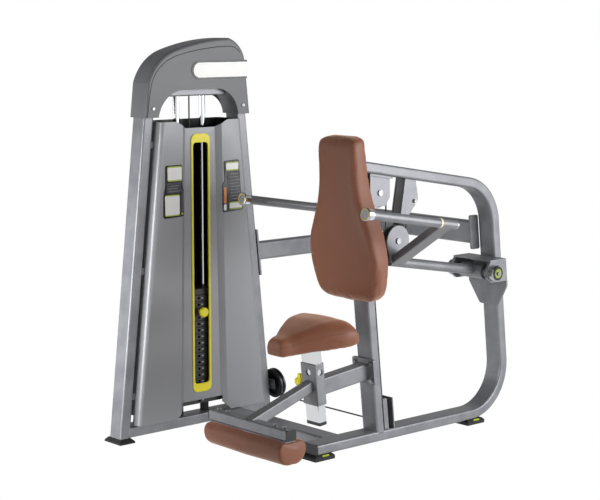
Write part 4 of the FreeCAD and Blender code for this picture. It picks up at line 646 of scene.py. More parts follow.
def tube(name: str, path: Sequence[Vector], radius: float, closed: bool = False, sides: int = 8) -> bpy.types.Object:
    """Round cord of leather, rubber or metal along a path.

    Args:
        name: The piece's name.
        path: Points in metres.
        radius: Millimetres.
        closed: Whether the path joins up.
        sides: Facets round the cord.

    Returns:
        The linked object.
    """
    count, rings, normal = len(path), [], None
    for i, p in enumerate(path):
        before = path[i - 1] if closed or i else p
        after = path[(i + 1) % count] if closed or i < count - 1 else p
        run = (after - before).normalized()
        if normal is None:
            normal = run.orthogonal().normalized()
        normal = (normal - run * normal.dot(run)).normalized()
        side = run.cross(normal)
        turns = [2 * math.pi * k / sides for k in range(sides)]
        rings.append([p + (normal * math.cos(a) + side * math.sin(a)) * radius * MM for a in turns])
    return lofted(name, rings, closed)


def turned(name: str, centre: Vector, axis: Vector, profile: Sequence[Pair]) -> bpy.types.Object:
    """Piece turned on a lathe.

    Args:
        name: The piece's name.
        centre: Point on the axis, in metres.
        axis: Direction of the axis.
        profile: Closed outline as (distance along, radius) in millimetres.

    Returns:
        The linked object.
    """
    axis = axis.normalized()
    first = axis.orthogonal().normalized()
    second = axis.cross(first)
    rings = []
    for k in range(LATHE_SIDES):
        a = 2 * math.pi * k / LATHE_SIDES
        out = first * math.cos(a) + second * math.sin(a)
        rings.append([centre + (axis * along + out * radius) * MM for along, radius in profile])
    return lofted(name, rings, closed=True, smooth=False)


def slab(name: str, outline: Sequence[Vector], out: Vector, thick: float, edge: float = 0.0) -> bpy.types.Object:
    """Flat sheet of an outline, with a softened front edge.

    Args:
        name: The piece's name.
        outline: Points of the back face, in metres.
        out: Direction towards the front.
        thick: Millimetres.
        edge: Millimetres by which the front edge is softened.

    Returns:
        The linked object.
    """
    out = out.normalized()
    middle = sum(outline, Vector()) / len(outline)
    layers = [(0.0, 0.0)]
    layers += [(thick - edge, 0.0), (thick - edge * 0.3, edge * 0.3), (thick, edge)] if edge else [(thick, 0.0)]
    rings = [[p + out * rise * MM + (middle - p).normalized() * inset * MM for p in outline]
             for rise, inset in layers]
    return lofted(name, rings, smooth=False)


def stadium(centre: Vector, right: Vector, rise: Vector, size: Pair, radius: float, steps: int = 4) -> list[Vector]:
    """Rounded rectangle as points.

    Args:
        centre: Its middle, in metres.
        right: Direction of its width.
        rise: Direction of its height.
        size: Width and height in millimetres.
        radius: Corner radius in millimetres.
        steps: Spans in each corner.

    Returns:
        The outline's points.
    """
    points = []
    for corner, (a, b) in enumerate(((1, 1), (-1, 1), (-1, -1), (1, -1))):
        for k in range(steps + 1):
            turn = math.pi / 2 * (corner + k / steps)
            x = a * (size[0] / 2 - radius) + radius * math.cos(turn)
            z = b * (size[1] / 2 - radius) + radius * math.sin(turn)
            points.append(centre + (right * x + rise * z) * MM)
    return points


def between(table: Sequence[Sequence[float]], x: float, column: int) -> float:
    """Smooth reading between the rows of a table.

    Args:
        table: Rows whose first value rises.
        x: Place to read at.
        column: Column to read.

    Returns:
        The value there.
    """
    last = len(table) - 1
    i = max(k for k in range(last) if k == 0 or table[k][0] <= x)
    step = table[i + 1][0] - table[i][0]
    u = min(max((x - table[i][0]) / step, 0), 1)

    def rise(k: int) -> float:
        """Slope from a row to the next."""
        return (table[k + 1][column] - table[k][column]) / (table[k + 1][0] - table[k][0])

    def slope(k: int) -> float:
        """Slope at a row, zero at a turning point."""
        if k in (0, last):
            return rise(min(k, last - 1))
        left, right = rise(k - 1), rise(k)
        return 0.0 if left * right <= 0 else 2 * left * right / (left + right)

    a, b = table[i][column], table[i + 1][column]
    m, n = slope(i) * step, slope(i + 1) * step
    return a + u * (m + u * (3 * (b - a) - 2 * m - n + u * (m + n - 2 * (b - a))))


def arc_points(first: Pair, middle: Pair, last: Pair, steps: int) -> list[Pair]:
    """Points along the circle through three, without the last of them.

    Args:
        first: Where the arc starts, in millimetres.
        middle: A point on its way.
        last: Where it stops.
        steps: Points to give.

    Returns:
        The arc's points.
    """
    (ax, ay), (bx, by), (cx, cy) = first, middle, last
    aa, bb, cc = ax * ax + ay * ay, bx * bx + by * by, cx * cx + cy * cy
    span = 2 * (ax * (by - cy) + bx * (cy - ay) + cx * (ay - by))
    ox = (aa * (by - cy) + bb * (cy - ay) + cc * (ay - by)) / span
    oy = (aa * (cx - bx) + bb * (ax - cx) + cc * (bx - ax)) / span
    start, way, stop = (math.atan2(y - oy, x - ox) for x, y in (first, middle, last))
    sweep = (stop - start) % math.tau
    if (way - start) % math.tau > sweep:
        sweep -= math.tau
    radius = math.hypot(ax - ox, ay - oy)
    turns = [start + sweep * k / steps for k in range(steps)]
    return [(ox + radius * math.cos(a), oy + radius * math.sin(a)) for a in turns]


def both_sides(right: list[Pair]) -> list[Pair]:
    """Closed section from its right half, which starts and ends on the middle line."""
    return right + [(-across, out) for across, out in reversed(right[1:-1])]


def eased(steps: int) -> list[float]:
    """Shares from 0 to 1 that crowd towards both ends."""
    return [0.5 - 0.5 * math.cos(math.pi * k / steps) for k in range(steps + 1)]


# Upholstery


@dataclass
class Part:
    """Sub-assembly whose pieces the workshop finishes."""

    shop: Workshop

    def build(self) -> None:
        """Builds the pieces; each sub-assembly has its own."""
        raise NotImplementedError


@dataclass
class SoftPad(Part):
    """Foam pad: its cover swells from a slightly smaller shape, and is sewn with welts."""

    node: str = ""
    cover_name: str = ""
    body: Body = Body.FRAME
    sections: int = 70
    start_inset: float = 3.0
    voxel_mm: float = 5.0
    swell_mm: float = 5.0
    pressure: float = 4.0
    stretch_stiffness: float = 40.0
    bend_stiffness: float = 2.0
    frames: int = 20
    fill: float = 0.85
    welt_radius: float = 0.9
    welt_sunk: float = 0.35

    def ring(self, share: float, inset: float) -> list[Vector]:
        """Section at one place along the pad; each pad has its own."""
        raise NotImplementedError

    def seams(self) -> dict[str, list[Vector]]:
        """Path of each seam by its name; each pad has its own."""
        raise NotImplementedError

    def inflate(self, cover: bpy.types.Object) -> None:
        """Swells the cover with cloth, and caps how far each point moves.

        Args:
            cover: The remeshed cover.
        """
        mesh = cover.data
        rest = [v.co.copy() for v in mesh.vertices]
        cloth = cover.modifiers.new("Cover", "CLOTH")
        cloth.settings.use_pressure = True
        cloth.settings.uniform_pressure_force = self.pressure
        cloth.settings.effector_weights.gravity = 0
        cloth.settings.tension_stiffness = self.stretch_stiffness
        cloth.settings.compression_stiffness = self.stretch_stiffness
        cloth.settings.bending_stiffness = self.bend_stiffness
        cloth.point_cache.frame_start = 1
        cloth.point_cache.frame_end = self.frames
        for number in range(1, self.frames + 1):
            bpy.context.scene.frame_set(number)
        shown = cover.evaluated_get(bpy.context.evaluated_depsgraph_get())
        moved = [v.co.copy() for v in shown.data.vertices]
        cover.modifiers.remove(cloth)
        for v, start, stop in zip(mesh.vertices, rest, moved):
            step = stop - start
            if step.length > self.swell_mm * MM:
                step *= self.swell_mm * MM / step.length
            v.co = start + step
        bpy.context.scene.frame_set(1)

    def apply(self, cover: bpy.types.Object, kind: str, **settings: object) -> None:
        """Applies one modifier to the cover.

        Args:
            cover: The cover.
            kind: The modifier's type.
            **settings: Its values.
        """
        step = cover.modifiers.new(kind, kind)
        for key, value in settings.items():
            setattr(step, key, value)
        shown = cover.evaluated_get(bpy.context.evaluated_depsgraph_get())
        mesh = bpy.data.meshes.new_from_object(shown)
        cover.modifiers.clear()
        old = cover.data
        cover.data = mesh
        mesh.name = cover.name
        bpy.data.meshes.remove(old)

    def sew(self, cover: bpy.types.Object, name: str, path: Sequence[Vector]) -> None:
        """Sews a closed welt on the cover.

        Args:
            cover: The cover.
            name: The welt's name.
            path: Points near the cover.
        """
        mesh = cover.data
        tree = BVHTree.FromPolygons([v.co for v in mesh.vertices], [tuple(p.vertices) for p in mesh.polygons])
        laid = []
        for p in path:
            spot, normal, _, _ = tree.find_nearest(p)
            laid.append(spot + normal * (-self.welt_radius * self.welt_sunk) * MM)
        # The welt's darker finish is painted shade along the crease.
        self.shop.fit(tube(name, laid, self.welt_radius, closed=True), Look.SEAM, Slot.LEATHER, self.body)

    def round_path(self, shares: Iterable[float], across: int) -> list[Vector]:
        """Closed path up one side of the pad and down the other, with straight ends.

        Args:
            shares: Places along the pad.
            across: Spans along each end.

        Returns:
            The path's points.
        """
        pairs = [self.edge(share) for share in shares]
        right, left = [p[0] for p in pairs], [p[1] for p in pairs]
        ends = [[first.lerp(second, k / across) for k in range(1, across)]
                for first, second in ((right[-1], left[-1]), (left[0], right[0]))]
        return right + ends[0] + left[::-1] + ends[1]

    def edge(self, share: float) -> tuple[Vector, Vector]:
        """Right and left point of the seam at one place; each pad that uses it has its own."""
        raise NotImplementedError

    def build(self) -> None:
        """Builds the cover in place of its plain solid, and sews its welts."""
        cover = lofted(self.cover_name, [self.ring(share, self.start_inset) for share in eased(self.sections)])
        self.apply(cover, "REMESH", mode="VOXEL", voxel_size=self.voxel_mm * MM)
        self.inflate(cover)
        self.apply(cover, "SMOOTH", factor=0.5, iterations=3)
        self.apply(cover, "SUBSURF", levels=1)
        cover.data.shade_smooth()
        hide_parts(self.node)
        self.shop.fit(cover, Look.LEATHER, Slot.LEATHER, self.body)
        for name, path in self.seams().items():
            self.sew(cover, name, path)


@dataclass
class BackPad(SoftPad):
    """Bell-shaped back pad: a wide lumbar end and a narrow head end, with a flat band round its side."""

    node: str = "back_pad"
    cover_name: str = "back_pad_cover"
    low: float = 506.0
    high: float = 1119.0
    back: float = -21.5
    thick: float = 85.5
    half: float = 181.0
    corner: float = 24.0
    corner_deep: float = 17.0
    tuck: float = 5.0
    bulge: float = 3.0
    turn: float = 0.70
    seam_inset: Pair = (7.0, 5.0)
    stations: tuple[Triple, ...] = (
        (0.000, 0.52, 0.50), (0.018, 0.70, 0.72), (0.060, 0.85, 0.84), (0.155, 0.95, 0.91),
        (0.262, 1.00, 0.95), (0.384, 0.952, 1.00), (0.503, 0.814, 0.985), (0.626, 0.665, 0.955),
        (0.741, 0.595, 0.92), (0.918, 0.56, 0.85), (0.972, 0.535, 0.78), (0.991, 0.46, 0.68), (1.000, 0.34, 0.52))

    def ring(self, share: float, inset: float) -> list[Vector]:
        """Section of the pad at one height.

        Args:
            share: Share of the pad's length from its lower end.
            inset: Millimetres that the section is drawn in.

        Returns:
            Points round the section.
        """
        t = self.low + inset + (self.high - self.low - 2 * inset) * share
        half = self.half * between(self.stations, share, 1) - inset
        deep = self.thick * between(self.stations, share, 2) - inset
        shoulder, crown, side = deep - self.corner_deep, half - self.corner, half - self.tuck / 4
        turn = (crown + (side - crown) * self.turn, shoulder + (self.corner_deep - self.bulge) * self.turn)
        edge = (crown, deep - self.bulge)
        right = [((half - self.tuck) * k / 14, 0.0) for k in range(14)]
        right += arc_points((half - self.tuck, 0.0), (half, shoulder / 2), (side, shoulder), 9)
        right += arc_points((side, shoulder), turn, edge, 8)
        right += arc_points(edge, (0.0, deep), (-crown, deep - self.bulge), 28)[:15]
        return [leaning(self.back - out, USER_PLANE + y, t) for y, out in both_sides(right)]

    def edge(self, share: float) -> tuple[Vector, Vector]:
        """Both points at one height where the pad's front turns into its side."""
        t = self.low + (self.high - self.low) * share
        half = self.half * between(self.stations, share, 1) - self.seam_inset[0]
        deep = self.thick * between(self.stations, share, 2) - self.seam_inset[1]
        return leaning(self.back - deep, USER_PLANE + half, t), leaning(self.back - deep, USER_PLANE - half, t)

    def seams(self) -> dict[str, list[Vector]]:
        """One seam round the front, just short of the pad's two ends."""
        return {"back_pad_seam": self.round_path([0.006 + 0.988 * share for share in eased(60)], 10)}


@dataclass
class SeatPad(SoftPad):
    """Saddle seat: a low narrow nose in front, a broad high rear, and a flat band round its side."""

    node: str = "seat_cushion"
    cover_name: str = "seat_cover"
    body: Body = Body.SEAT
    sections: int = 60
    front: float = -458.0
    long: float = 295.0
    low: float = 393.0
    half: float = 159.0
    high: float = 97.0
    band_share: float = 0.58
    seam_share: float = 0.60
    stations: tuple[Triple, ...] = (
        (0.000, 0.24, 0.43), (0.030, 0.285, 0.58), (0.200, 0.42, 0.67), (0.420, 0.66, 0.87), (0.640, 0.88, 1.00),
        (0.820, 0.99, 0.985), (0.930, 1.00, 0.87), (0.985, 0.94, 0.67), (1.000, 0.82, 0.47))

    def ring(self, share: float, inset: float) -> list[Vector]:
        """Section of the seat at one place along its length.

        Args:
            share: Share of the length from the nose.
            inset: Millimetres that the section is drawn in.

        Returns:
            Points round the section.
        """
        s = self.front + inset + (self.long - 2 * inset) * share
        half = self.half * between(self.stations, share, 1) - inset
        high = self.high * between(self.stations, share, 2) - inset
        side, top, crown = high * self.band_share, high * 0.965, half * 0.5
        shoulder = (half - high * 0.03, side)
        turn = ((half + crown) / 2 + high * 0.03, side + high * 0.30)
        tuck = half - high * 0.05
        right = [(tuck * k / 12, 0.0) for k in range(12)]
        right += arc_points((tuck, 0.0), (half, side / 2), shoulder, 8)
        right += arc_points(shoulder, turn, (crown, top), 12)
        right += arc_points((crown, top), (0.0, high), (-crown, top), 20)[:11]
        return [leaning(s, USER_PLANE + y, self.low + z) for y, z in both_sides(right)]

    def edge(self, share: float) -> tuple[Vector, Vector]:
        """Both points at one place on the upper edge of the side band."""
        s = self.front + self.long * share
        half = self.half * between(self.stations, share, 1)
        t = self.low + self.high * between(self.stations, share, 2) * self.seam_share
        return leaning(s, USER_PLANE + half, t), leaning(s, USER_PLANE - half, t)

    def seams(self) -> dict[str, list[Vector]]:
        """One seam along the side band."""
        return {"seat_seam": self.round_path(eased(50), 12)}


@dataclass
class FootPad(SoftPad):
    """Half-round roll that holds the feet down: flat on its mounting plate, round below."""

    node: str = "foot_pad"
    cover_name: str = "foot_roll_cover"
    middle_x: float = 130.0
    top: float = 152.7
    wide: float = 130.0
    tall: float = 84.0
    half_long: float = 212.0
    lip: float = 0.70
    shoulder: Pair = (0.94, 0.14)
    side_low: float = 0.43
    flank: Pair = (0.72, 0.86)
    stations: tuple[Pair, ...] = (
        (0.000, 0.91), (0.010, 0.97), (0.030, 1.00), (0.970, 1.00), (0.990, 0.97), (1.000, 0.91))

    def ring(self, share: float, inset: float) -> list[Vector]:
        """Section of the roll at one place along its length.

        Args:
            share: Share of the length from the near end.
            inset: Millimetres that the section is drawn in.

        Returns:
            Points round the section.
        """
        scale = between(self.stations, share, 1)
        half = (self.wide / 2 - inset) * scale
        tall = (self.tall - inset) * scale
        y = USER_PLANE + (self.half_long - inset) * (2 * share - 1)
        lip, side = (half * self.lip, 0.0), (half, -tall * self.side_low)
        right = [(lip[0] * k / 10, 0.0) for k in range(10)]
        right += arc_points(lip, (half * self.shoulder[0], -tall * self.shoulder[1]), side, 8)
        right += arc_points(side, (half * self.flank[0], -tall * self.flank[1]), (0.0, -tall), 18)
        right.append((0.0, -tall))
        return [at(self.middle_x + x, y, self.top + z) for x, z in both_sides(right)]

    def seams(self) -> dict[str, list[Vector]]:
        """One seam round each end."""
        return {"foot_roll_near_seam": self.ring(0.012, 0.0), "foot_roll_far_seam": self.ring(0.988, 0.0)}


# Trim


@dataclass(frozen=True)
class Placard:
    """Blank plate with plain blocks of colour and plain lines, all measured about its middle."""

    name: str
    middle: Pair
    plate: tuple[Pair, ...]
    blocks: tuple[tuple[float, float, float, float, Look], ...]
    first_line: float
    line_pitch: float
    lines: tuple[Pair, ...]
    line_high: float = 2.6

    def marks(self) -> list[tuple[float, float, float, float, Look]]:
        """Blocks and then lines, each as its middle across and up, its width, its height and its finish."""
        return [*self.blocks, *((across, self.first_line - self.line_pitch * k, wide, self.line_high, Look.PRINT)
                                for k, (across, wide) in enumerate(self.lines))]


LEFT_PLACARD = Placard(
    "left_placard", (234.0, 938.0),
    ((-31.0, 97.0), (38.0, 97.0), (42.0, 92.0), (43.0, 12.0), (47.0, 4.0), (47.0, -97.0), (-40.0, -101.0),
     (-47.0, -95.0), (-46.0, -20.0), (-37.0, 20.0), (-36.0, 91.0)),
    ((5.6, 65.0, 66.0, 55.0, Look.GREEN), (5.6, 65.0, 66.0, 46.0, Look.WHITE), (1.0, 12.0, 66.0, 38.0, Look.CHARCOAL),
     (-6.6, -53.0, 67.0, 79.0, Look.GREEN), (-6.6, -53.0, 67.0, 71.0, Look.WHITE),
     (38.0, -39.0, 9.0, 92.0, Look.CHARCOAL), (38.0, -87.0, 9.0, 7.0, Look.GREEN)),
    20.0, 10.0, ((4.0, 38.0), (-4.0, 44.0), (2.0, 50.0)))
RIGHT_PLACARD = Placard(
    "right_placard", (518.0, 941.0),
    ((-35.0, 97.0), (26.0, 99.0), (32.0, 94.0), (41.0, -20.0), (52.0, -62.0), (52.0, -90.0), (46.0, -97.0),
     (-43.0, -101.0), (-49.0, -96.0), (-49.0, 6.0), (-37.0, 24.0), (-41.0, 92.0)),
    ((-1.5, 74.5, 60.0, 33.0, Look.GREEN), (-1.5, 74.5, 60.0, 24.0, Look.WHITE),
     (6.0, -2.0, 60.0, 112.0, Look.CHARCOAL), (-38.0, -36.0, 13.0, 62.0, Look.ORANGE),
     (-38.0, -82.0, 13.0, 24.0, Look.WHITE), (14.0, -77.0, 62.0, 28.0, Look.GREEN),
     (14.0, -77.0, 62.0, 19.0, Look.WHITE)),
    45.0, 12.0, ((5.0, 40.0), (2.0, 44.0), (9.0, 46.0), (4.0, 40.0), (10.0, 46.0), (7.0, 42.0), (11.0, 46.0),
                 (8.0, 42.0), (12.0, 46.0)))


@dataclass
class TowerTrim(Part):
    """Blank plates and marks on the weight tower."""

    cap_front: float = -18.0
    wing_front: float = -36.0
    panel_left: float = 347.0
    panel_right: float = 608.0
    panel_low: float = 1356.0
    panel_high: float = 1412.0
    panel_rim: float = 7.0
    panel_thick: float = 2.5
    surround_thick: float = 2.0
    # Dark cord that paints the shadow line inside the cap's rim.
    shadow_line_sunk: float = 1.6
    shadow_line_radius: float = 2.3
    shadow_line_path: tuple[Pair, ...] = (
        (-243.0, 1216.0), (-240.0, 1225.0), (-232.0, 1283.0), (-221.0, 1338.0), (-206.0, 1370.0), (-184.0, 1396.0),
        (-153.0, 1420.0), (-113.0, 1437.0), (-50.0, 1452.0), (20.0, 1463.0), (90.0, 1470.0), (150.0, 1472.0),
        (172.0, 1468.0), (188.0, 1459.0), (198.0, 1448.0))
    placards: tuple[Placard, ...] = (LEFT_PLACARD, RIGHT_PLACARD)
    plate_thick: float = 2.5
    plate_edge: float = 0.3
    block_thick: float = 0.5
    block_edge: float = 0.15
    block_step: float = 0.25
    block_corner: float = 4.0
    plates: int = 17
    resting: int = 14
    plate_pitch: float = 25.0
    stack_low: float = 100.0
    lifted_gap: float = 0.3
    tag_across: float = 17.0
    tag_front: float = -4.0
    tag_size: Pair = (9.0, 5.0)
    tag_corner: float = 1.5
    tag_thick: float = 0.6

    def cap_panel(self) -> None:
        """White acrylic panel on the cap, in its dark surround."""
        for name, grow, y, thick, look in (
                ("cap_panel_surround", self.panel_rim, self.cap_front, self.surround_thick, Look.BLACK),
                ("cap_panel", 0.0, self.cap_front - self.surround_thick, self.panel_thick, Look.WHITE)):
            low, high = self.panel_low - grow, self.panel_high + grow
            radius = (high - low) / 2
            left = self.panel_left - grow + radius
            turns = [math.pi / 2 + math.pi * k / 24 for k in range(25)]
            points = [at(left + radius * math.cos(a), y, (low + high) / 2 + radius * math.sin(a)) for a in turns]
            points += [at(self.panel_right, y, low), at(self.panel_right, y, high)]
            self.shop.fit(slab(name, points, TO_FRONT, thick), look, Slot.CAP, Body.FRAME)

    def cap_shadow_line(self) -> None:
        """Dark cord inside the cap's upper rim: a painted shadow line."""
        path = [at(TOWER_MIDDLE + x, self.cap_front + self.shadow_line_sunk, z) for x, z in self.shadow_line_path]
        self.shop.fit(tube("cap_shadow_line", path, self.shadow_line_radius), Look.SHADOW_LINE, Slot.CAP, Body.FRAME)

    def placard(self, card: Placard) -> None:
        """Plate on the tower's front, and its blocks, each a little prouder than the one before.

        Args:
            card: The placard.
        """
        x, z = card.middle
        outline = [at(x + across, self.wing_front, z + up) for across, up in card.plate]
        plate = slab(f"{card.name}_plate", outline, TO_FRONT, self.plate_thick, self.plate_edge)
        self.shop.fit(plate, Look.BLACK, Slot.CAP, Body.FRAME)
        for number, (across, up, wide, high, look) in enumerate(card.marks()):
            base = self.wing_front - self.plate_thick - self.block_step * number
            # A narrow block keeps straight sides between its corners.
            corner = min(self.block_corner, wide / 3, high / 2.2)
            outline = stadium(at(x + across, base, z + up), ALONG_X, UP, (wide, high), corner)
            block = slab(f"{card.name}_{number}", outline, TO_FRONT, self.block_thick, self.block_edge)
            self.shop.fit(block, look, Slot.CAP, Body.FRAME)

    def plate_marks(self) -> None:
        """Small light tags beside the pin holes of the plates."""
        for number in range(self.plates):
            lifted = number >= self.resting
            low = self.stack_low + number * self.plate_pitch + (self.lifted_gap if lifted else 0.0)
            middle = at(TOWER_MIDDLE + self.tag_across, self.tag_front, low + self.plate_pitch / 2)
            outline = stadium(middle, ALONG_X, UP, self.tag_size, self.tag_corner)
            tag = slab(f"plate_tag_{number}", outline, TO_FRONT, self.tag_thick)
            self.shop.fit(tag, Look.TAG, Slot.CAP, Body.STACK if lifted else Body.FRAME)

    def build(self) -> None:
        """Builds all of the tower's trim."""
        self.cap_panel()
        self.cap_shadow_line()
        for card in self.placards:
            self.placard(card)
        self.plate_marks()


@dataclass
class PivotTrim(Part):
    """Olive-green ring and black rubber seal on each bearing housing."""

    centre: Triple = (1256.0, USER_PLANE, 604.0)
    face: float = 121.0
    ring: tuple[Pair, ...] = ((0, 11), (0, 18.5), (2.2, 18.5), (3, 17.5), (3, 12), (2.2, 11))
    seal: tuple[Pair, ...] = ((0, 18.7), (0, 27), (1.6, 26.4), (1.6, 18.7))

    def build(self) -> None:
        """Builds the rings and seals."""
        for side, word in BOTH_SIDES:
            seat = at(self.centre[0], self.centre[1] + side * self.face, self.centre[2])
            ring = turned(f"{word}_bearing_ring", seat, ALONG_Y * side, self.ring)
            self.shop.fit(ring, Look.OLIVE, Slot.YELLOW, Body.FRAME)
            seal = turned(f"{word}_bearing_seal", seat, ALONG_Y * side, self.seal)
            self.shop.fit(seal, Look.RUBBER, Slot.RUBBER, Body.FRAME)


@dataclass
class HandTrim(Part):
    """Ring and polished sleeve at each hand bar's cap, and the collar and band where its grip ends."""

    front: Pair = (357.0, 922.0)
    slope_deg: float = 9.28
    half: float = 325.0
    cap_long: float = 9.0
    collar_at: float = 362.0
    bar_radius: float = 16.5
    ring: tuple[Pair, ...] = ((-0.5, 15.5), (-0.5, 19.5), (0.6, 19), (0.6, 16))

    def build(self) -> None:
        """Builds the trim of both bars."""
        a = math.radians(self.slope_deg)
        out = Vector((-math.cos(a), 0, math.sin(a)))
        r = self.bar_radius
        collar = ((0, r), (0, r + 1.6), (7, r + 1.6), (7, r))
        band = ((0, r), (0, r + 2.2), (5, r + 1.4), (5, r))
        sleeve = ((0, r), (0, 19.0), (1, 19.6), (17, 19.6), (18, 18.4), (24, 18.0), (25, r + 0.6), (25, r))
        for side, word in BOTH_SIDES:
            neck = at(self.front[0], USER_PLANE + side * self.half, self.front[1])
            foot = neck - out * self.collar_at * MM
            for name, place, axis, profile, look in (
                    ("ring", neck + out * self.cap_long * MM, out, self.ring, Look.BRASS),
                    ("collar", foot, out, collar, Look.WHITE), ("band", foot, -out, band, Look.BRASS),
                    ("sleeve", neck, -out, sleeve, Look.CHROME)):
                self.shop.fit(turned(f"{word}_hand_{name}", place, axis, profile), look, Slot.CHROME, Body.ARM)


@dataclass
class FootTrim(Part):
    """Blank labels on the loop frame's rubber shoes."""

    xs: Pair = (380.0, 1182.0)
    offset: Triple = (52.0, -41.6, 16.6)
    size: Pair = (32.0, 7.0)
    corner: float = 2.5
    thick: float = 0.6
    slope: float = 0.7071

    def build(self) -> None:
        """Builds the labels on the shoes' sloping faces."""
        rise, out = Vector((0, self.slope, self.slope)), Vector((0, -self.slope, self.slope))
        for x, word in zip(self.xs, ("front", "rear")):
            centre = at(x + self.offset[0], USER_PLANE + self.offset[1], self.offset[2])
            outline = stadium(centre, ALONG_X, rise, self.size, self.corner)
            label = slab(f"{word}_shoe_label", outline, out, self.thick)
            self.shop.fit(label, Look.GREEN, Slot.YELLOW, Body.FRAME)


@dataclass
class SeatTrim(Part):
    """Grip of the seat's lock pin, and the plastic foot of the seat's post."""

    post_s: float = -277.0
    foot_t: float = 98.5
    foot_size: Pair = (71.6, 35.6)
    foot_corner: float = 4.0
    foot_high: float = 13.0
    foot_edge: float = 1.0
    grip_size: Pair = (16.0, 62.0)
    grip_corner: float = 7.5
    grip_back: float = 24.0
    grip_thick: float = 15.0
    grip_edge: float = 2.5

    def build(self) -> None:
        """Builds the foot and the grip."""
        back, up = Vector((LEAN_COS, 0, LEAN_SIN)), Vector((-LEAN_SIN, 0, LEAN_COS))
        middle = leaning(self.post_s, USER_PLANE, self.foot_t)
        outline = stadium(middle, ALONG_Y, back, self.foot_size, self.foot_corner, 5)
        foot = slab("seat_post_foot", outline, up, self.foot_high, self.foot_edge)
        self.shop.fit(foot, Look.NYLON, Slot.RUBBER, Body.SEAT)
        low, high = (Vector(p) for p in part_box("seat_lock"))
        knob = Vector(((low.x + high.x) / 2, high.y - self.grip_back * MM, (low.z + high.z) / 2))
        outline = stadium(knob, ALONG_X, UP, self.grip_size, self.grip_corner, 6)
        grip = slab("seat_lock_grip", outline, ALONG_Y, self.grip_thick, self.grip_edge)
        self.shop.fit(grip, Look.YELLOW_ABS, Slot.YELLOW, Body.SEAT_LOCK)


@dataclass
class Ropes(Part):
    """Cable runs, built as straight strands between their ends."""

    wrap: float = 48.0
    radius: float = 3.0
    spans: int = 24
    sides: int = 12
    eye_long: float = 21.0
    lift_keep: float = 0.41

    def strand(self, name: str, node: str, start: Vector, stop: Vector) -> bpy.types.Object:
        """Straight rope between two points.

        Args:
            name: The rope's name.
            node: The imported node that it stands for.
            start: Its first end, in metres.
            stop: Its other end.

        Returns:
            The rope.
        """
        path = [start.lerp(stop, k / self.spans) for k in range(self.spans + 1)]
        rope = tube(name, path, self.radius, sides=self.sides)
        self.shop.dress(rope, Look.ROPE)
        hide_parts(node)
        LOG.info("built %s", name)
        return rope

    def middle(self, node: str) -> Vector:
        """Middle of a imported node."""
        low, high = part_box(node)
        return (Vector(low) + Vector(high)) / 2

    def build(self) -> None:
        """Builds the strands that stretch or shorten."""
        low, high = (Vector(p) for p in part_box("stack_cable"))
        middle = (low + high) / 2
        foot, head = Vector((middle.x, middle.y, low.z)), Vector((middle.x, middle.y, high.z))
        stack = self.strand("stack_rope", "stack_cable", foot, head)
        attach(stack, Body.FRAME.value)
        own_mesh(stack)
        moving, fixed, eye = self.middle("arm_pulley"), self.middle("upper_pulley"), self.middle("cable_anchor")
        gap = eye - moving
        tilt = math.atan2(gap.z, gap.x) - math.acos(self.wrap * MM / gap.length)
        leave = moving + Vector((math.cos(tilt), 0, math.sin(tilt))) * self.wrap * MM
        for name, head, foot in (
                ("arm_rope_front", fixed + ALONG_X * self.wrap * MM, moving - ALONG_X * self.wrap * MM),
                ("arm_rope_rear", eye - (eye - leave).normalized() * self.eye_long * MM, leave)):
            rope = self.strand(name, "arm_strands", head, foot)
            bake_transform(rope)


@dataclass
class PackedNodes(Part):
    """Finish of each node that shows as it was packed."""

    finishes: tuple[tuple[Look, tuple[str, ...]], ...] = (
        (Look.FRAME_COAT, (
            "tower_base", "tower_uprights", "floor_wheel_brackets", "upper_bracket", "arm_pulley_bracket",
            "loop_frame", "middle_upright", "cross_tube", "tower_beam", "rear_cross_beam", "stop_post", "pivot_yoke",
            "press_lever", "press_arms", "hand_bars", "seat_sleeve", "seat_beam", "foot_strut", "foot_bar",
            "pulley_carrier")),
        (Look.SHEET_COAT, ("front_shroud", "rear_shroud", "shroud_tabs")),
        (Look.GREY_ABS, ("tower_cap", "cap_back_cover")),
        (Look.YELLOW_ABS, ("slot_frame", "pin_knob", "seat_lock")),
        (Look.BOARD, ("back_board", "seat_board")),
        (Look.CHROME, ("guide_rods", "seat_post")),
        (Look.NICKEL, ("hand_caps", "bearing_housings")),
        (Look.ZINC, (
            "selector_rod", "selector_pin", "cable_anchor", "root_axles", "arm_axle", "pivot_shaft", "frame_bolts")),
        (Look.IRON, ("weight_plates", "lifted_plates", "head_plate")),
        (Look.RUBBER, ("rubber_buffers", "rubber_feet")),
        (Look.NYLON, (
            "tube_caps", "top_pulley_inner", "top_pulley_outer", "tower_pulley", "base_pulley", "upper_pulley",
            "arm_pulley")),
        (Look.ROPE, ("drive_cable", "arm_strands", "arm_cable_loop", "stack_cable")),
        (Look.LEATHER, ("back_pad", "seat_cushion", "foot_pad")))

    def build(self) -> None:
        """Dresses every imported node."""
        for look, nodes in self.finishes:
            for node in nodes:
                self.shop.dress(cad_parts[node], look)
                LOG.info("dressed %s", node)


# Studio


@dataclass(frozen=True)
class Panel:
    """Soft light panel: where it stands, what it faces, its size in metres, its power and how wide it throws."""

    name: str
    place: Triple
    target: Triple
    size: Pair
    watts: float
    spread_deg: float = 180.0


